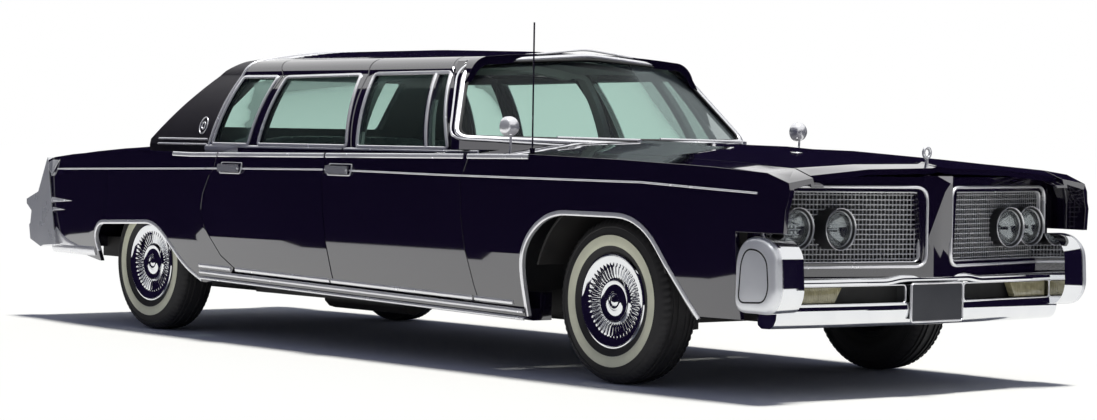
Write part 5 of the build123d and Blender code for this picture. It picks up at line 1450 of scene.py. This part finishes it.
# The add-on.
class LIMOUSINE_OT_materials(bpy.types.Operator):
    """Make the finishes and give them to the CAD nodes"""
    bl_idname = "limousine.materials"
    bl_label = "Finishes"

    def execute(self, context):
        make_materials(context.scene.limousine_paint)
        soften_frame_nodes()
        return {"FINISHED"}


class LIMOUSINE_OT_wheels(bpy.types.Operator):
    """Make the tyres and the wheel covers"""
    bl_idname = "limousine.wheels"
    bl_label = "Wheels"

    def execute(self, context):
        make_wheels(context.scene.limousine_wheels)
        return {"FINISHED"}


class LIMOUSINE_OT_side_trim(bpy.types.Operator):
    """Make the bright strips of the body side"""
    bl_idname = "limousine.side_trim"
    bl_label = "Side trim"

    def execute(self, context):
        make_side_trim(context.scene.limousine_trim)
        return {"FINISHED"}


class LIMOUSINE_OT_glasshouse(bpy.types.Operator):
    """Make the window frames, the belt strips and the roof's strips"""
    bl_idname = "limousine.glasshouse"
    bl_label = "Window trim"

    def execute(self, context):
        make_glasshouse(context.scene.limousine_trim)
        return {"FINISHED"}


class LIMOUSINE_OT_front(bpy.types.Operator):
    """Make the grille, the lamps and the bumper's details"""
    bl_idname = "limousine.front"
    bl_label = "Front"

    def execute(self, context):
        make_front()
        make_bumper()
        make_ornament()
        make_mirrors()
        return {"FINISHED"}


class LIMOUSINE_OT_fittings(bpy.types.Operator):
    """Make the door handles and the rear ends' spears"""
    bl_idname = "limousine.fittings"
    bl_label = "Fittings"

    def execute(self, context):
        make_fittings()
        return {"FINISHED"}


class LIMOUSINE_OT_seats(bpy.types.Operator):
    """Make the padded benches and the head lining"""
    bl_idname = "limousine.seats"
    bl_label = "Seats"

    def execute(self, context):
        make_seats()
        make_liner()
        return {"FINISHED"}


class LIMOUSINE_OT_stage(bpy.types.Operator):
    """Make the floor, the light and the camera"""
    bl_idname = "limousine.stage"
    bl_label = "Stage"

    def execute(self, context):
        make_stage()
        return {"FINISHED"}


OPERATORS = (LIMOUSINE_OT_stage, LIMOUSINE_OT_materials, LIMOUSINE_OT_wheels, LIMOUSINE_OT_side_trim,
             LIMOUSINE_OT_glasshouse, LIMOUSINE_OT_front, LIMOUSINE_OT_fittings, LIMOUSINE_OT_seats)


class LIMOUSINE_PT_panel(bpy.types.Panel):
    """The limousine's pieces, each with a button that makes it"""
    bl_idname = "LIMOUSINE_PT_panel"
    bl_label = "Limousine"
    bl_space_type = "VIEW_3D"
    bl_region_type = "UI"
    bl_category = "Limousine"

    def draw(self, context):
        layout = self.layout
        for group, names in SETTINGS.items():
            for name in names:
                layout.prop(getattr(context.scene, group), name)
        for operator in OPERATORS:
            layout.operator(operator.bl_idname)


SETTINGS = {"limousine_paint": ("body", "vinyl", "glass", "whitewall", "seat"),
            "limousine_wheels": ("vanes", "vane_height", "blocks", "groove"),
            "limousine_trim": ("belt", "line", "arch")}
GROUPS = {"limousine_paint": LimousinePaint, "limousine_wheels": LimousineWheels, "limousine_trim": LimousineTrim}


def register():
    """Registers the settings, the operators and the panel."""
    for group in GROUPS.values():
        bpy.utils.register_class(group)
    for name, group in GROUPS.items():
        setattr(bpy.types.Scene, name, PointerProperty(type=group))
    for operator in OPERATORS:
        bpy.utils.register_class(operator)
    bpy.utils.register_class(LIMOUSINE_PT_panel)


def unregister():
    """Takes away what register() added, in the opposite order."""
    bpy.utils.unregister_class(LIMOUSINE_PT_panel)
    for operator in reversed(OPERATORS):
        bpy.utils.unregister_class(operator)
    for name, group in GROUPS.items():
        delattr(bpy.types.Scene, name)
        bpy.utils.unregister_class(group)


def main():
    """Registers the add-on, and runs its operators."""
    register()
    for operator in OPERATORS:
        family, name = operator.bl_idname.split(".")
        getattr(getattr(bpy.ops, family), name)()


if __name__ == "__main__":
    main()
